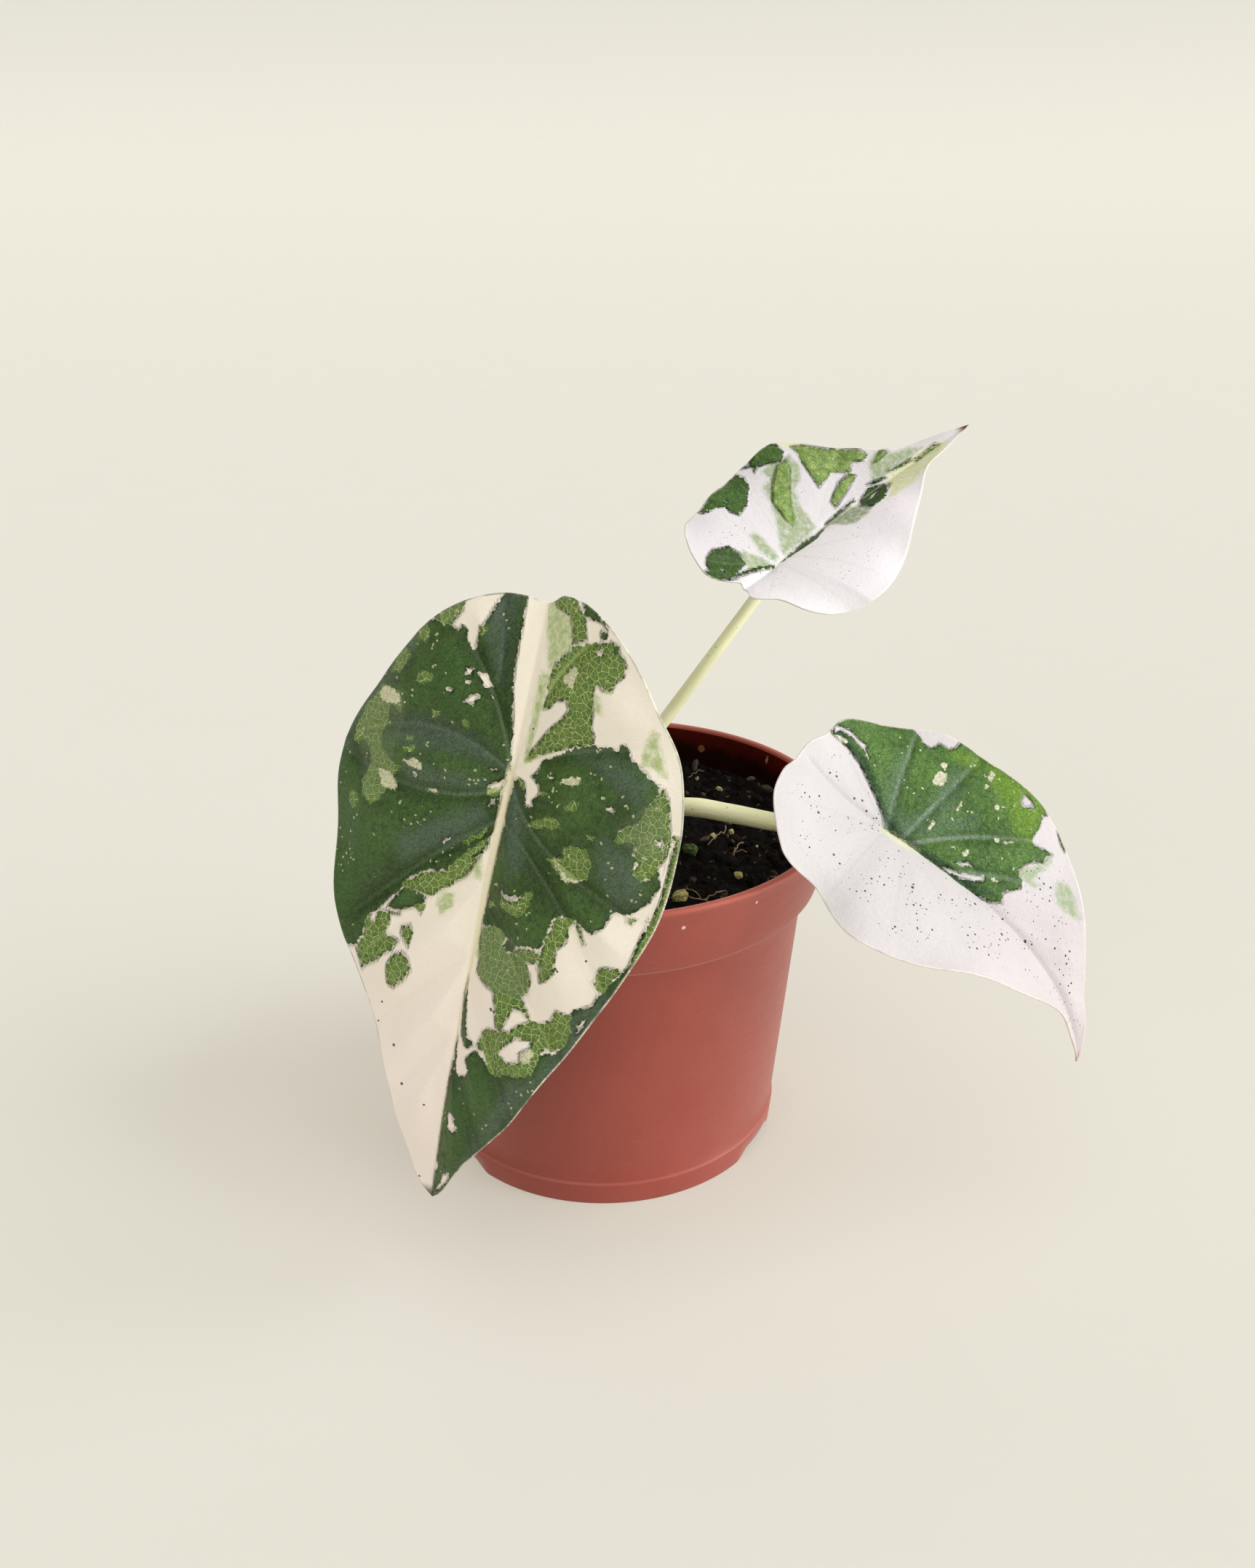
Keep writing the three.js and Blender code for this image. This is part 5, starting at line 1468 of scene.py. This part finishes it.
def pot_profile():
    """(radius, height) from the middle of the underside, out and over the rim, to the middle inside."""
    foot = body_radius(FOOT_STEP_HEIGHT) + FOOT_STEP
    lip = RIM_RADIUS - BAND_WALL
    holes_from = DRAIN_RING_RADIUS - DRAIN_HOLE_RADIUS
    holes_to = DRAIN_RING_RADIUS + DRAIN_HOLE_RADIUS
    climb = np.linspace(0, 1, 14)[1:]
    body = [(body_radius(h), h) for h in FOOT_STEP_HEIGHT + climb * (BAND_BOTTOM - 1.4 - FOOT_STEP_HEIGHT)]
    outer_band = [(band_radius(h), h) for h in np.linspace(BAND_BOTTOM + 1.2, POT_HEIGHT - 1.8, 8)]
    inner_band = [(band_radius(h) - BAND_WALL, h) for h in np.linspace(POT_HEIGHT - 2, BAND_BOTTOM + 2.2, 8)]
    inside = [(body_radius(h) - WALL, h) for h in np.linspace(BAND_BOTTOM - 0.6, BASE_TOP + 1.8, 12)]
    return [
        (0, 0),
        (BOSS_RADIUS - 0.3, 0),
        (BOSS_RADIUS, 0.15),
        (BOSS_RADIUS + BOSS_FLARE - 0.2, BASE_UNDERSIDE - 0.15),
        (BOSS_RADIUS + BOSS_FLARE + 0.2, BASE_UNDERSIDE),
        (holes_from, BASE_UNDERSIDE),
        (holes_to, BASE_UNDERSIDE),
        (FOOT_RADIUS - 1.9, BASE_UNDERSIDE),
        (FOOT_RADIUS - 1.6, BASE_UNDERSIDE - 0.2),
        (FOOT_RADIUS - 1.5, 0.2),
        (FOOT_RADIUS - 1.3, 0),
        (FOOT_RADIUS - 0.3, 0),
        (FOOT_RADIUS - 0.05, 0.15),
        (FOOT_RADIUS + 0.02, 0.4),
        (foot - 0.03, FOOT_STEP_HEIGHT - 0.75),
        (foot - 0.1, FOOT_STEP_HEIGHT - 0.5),
        (foot - FOOT_STEP + 0.05, FOOT_STEP_HEIGHT - 0.1),
        *body,
        (body_radius(BAND_BOTTOM - 1) + 0.15, BAND_BOTTOM - 0.9),
        (body_radius(BAND_BOTTOM) + 0.6, BAND_BOTTOM - 0.5),
        (band_radius(BAND_BOTTOM) - 1.2, BAND_BOTTOM - 0.1),
        (band_radius(BAND_BOTTOM) - 0.4, BAND_BOTTOM + 0.15),
        (band_radius(BAND_BOTTOM) + 0.05, BAND_BOTTOM + 0.6),
        *outer_band,
        (RIM_RADIUS - 0.15, POT_HEIGHT - 1.3),
        (RIM_RADIUS, POT_HEIGHT - 0.9),
        (RIM_RADIUS - 0.1, POT_HEIGHT - 0.45),
        (RIM_RADIUS - 0.45, POT_HEIGHT - 0.1),
        (RIM_RADIUS - 0.9, POT_HEIGHT),
        (lip + 0.1, POT_HEIGHT - 0.05),
        (lip - 0.25, POT_HEIGHT - 0.3),
        (lip - 0.45, POT_HEIGHT - 0.9),
        *inner_band,
        (band_radius(BAND_BOTTOM + 1.6) - BAND_WALL - 0.4, BAND_BOTTOM + 1.5),
        (body_radius(BAND_BOTTOM) - WALL + 0.6, BAND_BOTTOM + 0.9),
        (body_radius(BAND_BOTTOM) - WALL + 0.1, BAND_BOTTOM + 0.3),
        *inside,
        (body_radius(BASE_TOP) - WALL - 0.6, BASE_TOP + 0.4),
        (body_radius(BASE_TOP) - WALL - 1.4, BASE_TOP),
        (holes_to, BASE_TOP),
        (holes_from, BASE_TOP),
        (BOSS_RADIUS + BOSS_FLARE - 1.2, BASE_TOP),
        (BOSS_RADIUS + BOSS_FLARE - 1.5, BASE_TOP - 0.2),
        (BOSS_RADIUS - 1.3, BOSS_THICKNESS + 0.15),
        (BOSS_RADIUS - 1.6, BOSS_THICKNESS),
        (0, BOSS_THICKNESS),
    ]


def pot_plastic():
    """Satin terracotta plastic with a fine grain, faint wipe marks, two chips, brown dots, and painted
    highlights along the top of the rim and the foot's ledge.
    """
    s = Shader("pot_plastic")
    at = s.place()
    z = s.split(at)[2]
    grain = s.noise(at, 0.45, 2, 0.7)
    clouds = s.noise(at, 22, 4)
    colour = s.mix(s.step(clouds, 0.35, 0.7), rgb(152, 63, 49), rgb(157, 68, 54))
    colour = s.mix(s.step(grain, 0.3, 0.75, 0, 0.4), colour, rgb(136, 51, 40))
    wipes = s.noise(s.vector("MULTIPLY", at, (0.35, 0.35, 2.2)), 3, 5, 0.7)
    colour = s.mix(s.step(wipes, 0.6, 0.8, 0, 0.2), colour, rgb(212, 142, 126))
    # Painted highlight along the top of the rim.
    lip = s.step(z, POT_HEIGHT - 1.6, POT_HEIGHT - 0.5, 0, 0.45)
    colour = s.mix(lip, colour, rgb(202, 104, 84))
    # Painted highlight: a pale line along the foot's ledge, where it faces up.
    from_ledge_highlight = s.math("ABSOLUTE", s.math("SUBTRACT", z, FOOT_STEP_HEIGHT - 0.5))
    colour = s.mix(s.step(from_ledge_highlight, 0.15, 0.5, 0.3, 0), colour, rgb(194, 114, 98))
    ragged = s.math("MULTIPLY", s.noise(at, 0.6, 2), 0.7)
    for chip, size in CHIPS:
        away = s.math("ADD", s.vector("DISTANCE", at, chip), ragged)
        colour = s.mix(s.step(away, size, size + 0.2, 0.8, 0), colour, rgb(232, 204, 192))
    dust = s.math("GREATER_THAN", s.split(s.cells(at, 1.6, "Color", flat=False))[2], 0.992)
    dot = s.math("LESS_THAN", s.cells(at, 1.6, flat=False), 0.2)
    colour = s.mix(s.math("MULTIPLY", s.math("MULTIPLY", dust, dot), 0.5), colour, rgb(88, 40, 32))
    normal = s.bump(grain, 0.05, 0.6)
    roughness = s.step(wipes, 0.4, 0.75, 0.5, 0.62)
    return s.finish(Base_Color=colour, Roughness=roughness, Normal=normal, Sheen_Weight=0.3,
                    Sheen_Roughness=0.4, Sheen_Tint=(1.0, 0.9, 0.86, 1))


def pot_inside():
    """The same plastic, painted darker as shade and darker still towards the filling, splashed with soil more
    and more towards it.
    """
    s = Shader("pot_inside")
    at = s.place()
    z = s.split(at)[2]
    # Painted shade: darker than the outside, and darkest down towards the filling.
    colour = s.mix(s.step(z, SOIL_TOP + 3, POT_HEIGHT), rgb(46, 12, 7), rgb(90, 25, 16))
    reach = s.step(z, SOIL_TOP + 1, POT_HEIGHT - 1, 0.36, 0.62)
    soiled = s.step(s.math("SUBTRACT", s.noise(at, 3.2, 6, 0.7), reach), -0.08, 0.12, 0, 0.85)
    colour = s.mix(soiled, colour, rgb(26, 14, 10))
    ragged = s.math("MULTIPLY", s.noise(at, 0.8, 2), 0.8)
    streak = s.vector("MULTIPLY", s.vector("SUBTRACT", at, STREAK_AT), (1, 1, 0.4))
    streak = s.math("ADD", s.vector("DISTANCE", streak, (0, 0, 0)), ragged)
    colour = s.mix(s.step(streak, 0.7, 1.1, 0.7, 0), colour, rgb(206, 150, 130))
    spot = s.math("ADD", s.vector("DISTANCE", at, SPOT_AT), ragged)
    colour = s.mix(s.step(spot, 1.2, 1.6, 0.8, 0), colour, rgb(150, 92, 60))
    return s.finish(Base_Color=colour, Roughness=0.8, Specular_IOR_Level=0.0)


def nursery_pot():
    """Thin-walled pot turned from its profile, with notches in the foot and six drain holes."""
    profile = pot_profile()
    angles = np.arange(POT_SEGMENTS) * 360 / POT_SEGMENTS
    lifts = [notch_lift(angle) for angle in angles]
    points = []
    rows = []
    for radius, height in profile:
        if radius == 0:
            rows.append([len(points)] * POT_SEGMENTS)
            points.append((0, 0, height))
            continue
        rows.append(list(range(len(points), len(points) + POT_SEGMENTS)))
        on_foot = radius > FOOT_RADIUS - 1.55 and height < FOOT_STEP_HEIGHT - 1 and radius < FOOT_RADIUS + 0.5
        for angle, lift in zip(np.radians(angles), lifts):
            z = max(height, lift + height * 0.3) if on_foot else height
            points.append((radius * math.cos(angle), radius * math.sin(angle), z))
    heights = [height for _, height in profile]
    inside_from = heights.index(POT_HEIGHT) + LIP_ROWS
    faces = []
    material_of = []
    for index, (lower, upper) in enumerate(zip(rows, rows[1:])):
        for corner in range(POT_SEGMENTS):
            following = (corner + 1) % POT_SEGMENTS
            ring = (lower[corner], lower[following], upper[following], upper[corner])
            faces.append(tuple(dict.fromkeys(ring)))
            material_of.append(int(index >= inside_from))
    piece = build_mesh("pot_shell", points, faces, [pot_plastic(), pot_inside()],
                       material_of=material_of)
    cut_drain_holes(piece)
    settle(piece, "pot_plastic", "nursery_pot")


def drain_bore(turn):
    """Points and faces of the round bar that cuts one drain hole."""
    centre = (DRAIN_RING_RADIUS * math.cos(turn), DRAIN_RING_RADIUS * math.sin(turn))
    points = []
    for height in (BASE_UNDERSIDE - 1.5, BASE_TOP + 1.5):
        for corner in range(DRAIN_HOLE_SIDES):
            angle = 2 * math.pi * corner / DRAIN_HOLE_SIDES
            points.append((centre[0] + DRAIN_HOLE_RADIUS * math.cos(angle),
                           centre[1] + DRAIN_HOLE_RADIUS * math.sin(angle), height))
    return points, ring_skin(2, DRAIN_HOLE_SIDES)


def cut_drain_holes(pot):
    """Bores through the pot's floor."""
    bores = [drain_bore(2 * math.pi * hole / DRAIN_HOLES) for hole in range(DRAIN_HOLES)]
    cutter = build_mesh("drain_cutter", *join(bores), [])
    cut = pot.modifiers.new("drain", "BOOLEAN")
    cut.operation = "DIFFERENCE"
    cut.solver = "EXACT"
    cut.object = cutter
    graph = bpy.context.evaluated_depsgraph_get()
    made = bpy.data.meshes.new_from_object(pot.evaluated_get(graph))
    pot.modifiers.clear()
    pot.data = made
    pot.data.polygons.foreach_set("use_smooth", [True] * len(made.polygons))
    pot.data.set_sharp_from_angle(angle=math.radians(50))
    bpy.data.objects.remove(cutter)


# Stage

def studio_floor():
    """A pale sheet, laid out in metres, that lies flat and sweeps up far behind the plant."""
    half_width = 8
    front = -3
    curve_at = 4
    bend = 1.5
    top = 8
    run = [(front, 0), (0.2, 0)]
    for turn in np.radians(np.linspace(0, 90, 24)):
        run.append((curve_at + bend * math.sin(turn), bend - bend * math.cos(turn)))
    run.append((curve_at + bend, top))
    points = []
    for y, z in run:
        points += [(side * 1000, y * 1000, z * 1000) for side in (-half_width, half_width)]
    faces = [(2 * row, 2 * row + 1, 2 * row + 3, 2 * row + 2) for row in range(len(run) - 1)]
    s = Shader("studio_paper")
    fibres = s.noise(s.place(), 40, 2)
    paper = s.mix(fibres, rgb(179, 178, 173), rgb(181, 180, 175))
    height = s.split(s.place())[2]
    paper = s.mix(s.step(height, 0, 700), paper, rgb(168, 167, 165))
    skin = s.finish(Base_Color=paper, Roughness=0.9, Emission_Color=rgb(231, 225, 205),
                    Emission_Strength=0.4)
    floor = build_mesh("studio_floor", points, faces, [skin])


def soft_sun(name, towards, spread, strength, colour, shadow=True):
    """Even light from a wide patch of sky in the given direction."""
    data = bpy.data.lights.new(name, "SUN")
    data.angle = math.radians(spread)
    data.energy = strength * math.pi
    data.color = colour
    data.use_shadow = shadow
    lamp = bpy.data.objects.new(name, data)
    lamp.rotation_euler = Vector(towards).to_track_quat("Z", "Y").to_euler()
    bpy.context.scene.collection.objects.link(lamp)


def studio_light():
    """Weak light from all round, and five soft suns, two of which cast no shadow."""
    world = bpy.data.worlds.new("studio_air")
    world.use_nodes = True
    background = world.node_tree.nodes["Background"]
    background.inputs["Color"].default_value = (1.0, 0.97, 0.92, 1)
    background.inputs["Strength"].default_value = 0.2
    bpy.context.scene.world = world
    soft_sun("window_right", (1, -0.15, 0.65), 50, 0.62, (0.97, 0.99, 1))
    soft_sun("side_glow", (1, -0.3, 0.02), 40, 0.5, (1, 0.98, 0.97), shadow=False)
    soft_sun("front_fill", (-0.5, -0.8, 0.3), 40, 0.22, (0.98, 0.99, 1))
    soft_sun("ceiling", (0, -0.3, 1), 60, 0.17, (1, 0.98, 0.95))
    soft_sun("ceiling_fill", (0, -0.3, 1), 60, 0.17, (1, 0.98, 0.95), shadow=False)


def camera():
    """The camera, where it was found to have stood for the photo."""
    data = bpy.data.cameras.new("camera")
    data.sensor_fit = "AUTO"
    data.sensor_width = SENSOR
    data.lens = FOCAL_PIXELS / IMAGE_HEIGHT * SENSOR
    data.clip_start = 0.02
    data.clip_end = 20
    eye = bpy.data.objects.new("camera", data)
    columns = np.array([CAMERA_RIGHT, CAMERA_UP, [-part for part in CAMERA_FORWARD]]).T
    matrix = np.eye(4)
    matrix[:3, :3] = columns
    matrix[:3, 3] = np.array(CAMERA_AT) * MM
    bpy.context.scene.collection.objects.link(eye)
    eye.matrix_world = Matrix(matrix.tolist())
    bpy.context.scene.camera = eye


bpy.context.scene.view_settings.view_transform = "Standard"
camera()
studio_floor()
studio_light()
nursery_pot()
soil()
rhizome()
stalk = petiole_skin()
for place, shape in PETIOLES.items():
    petiole(place, shape, BLADES[place], stalk)
leaf_blade("front", FRONT_PATCHES, FRONT_LOOKS)
leaf_blade("back", BACK_PATCHES, BACK_LOOKS)
leaf_blade("right", RIGHT_PATCHES, RIGHT_LOOKS)
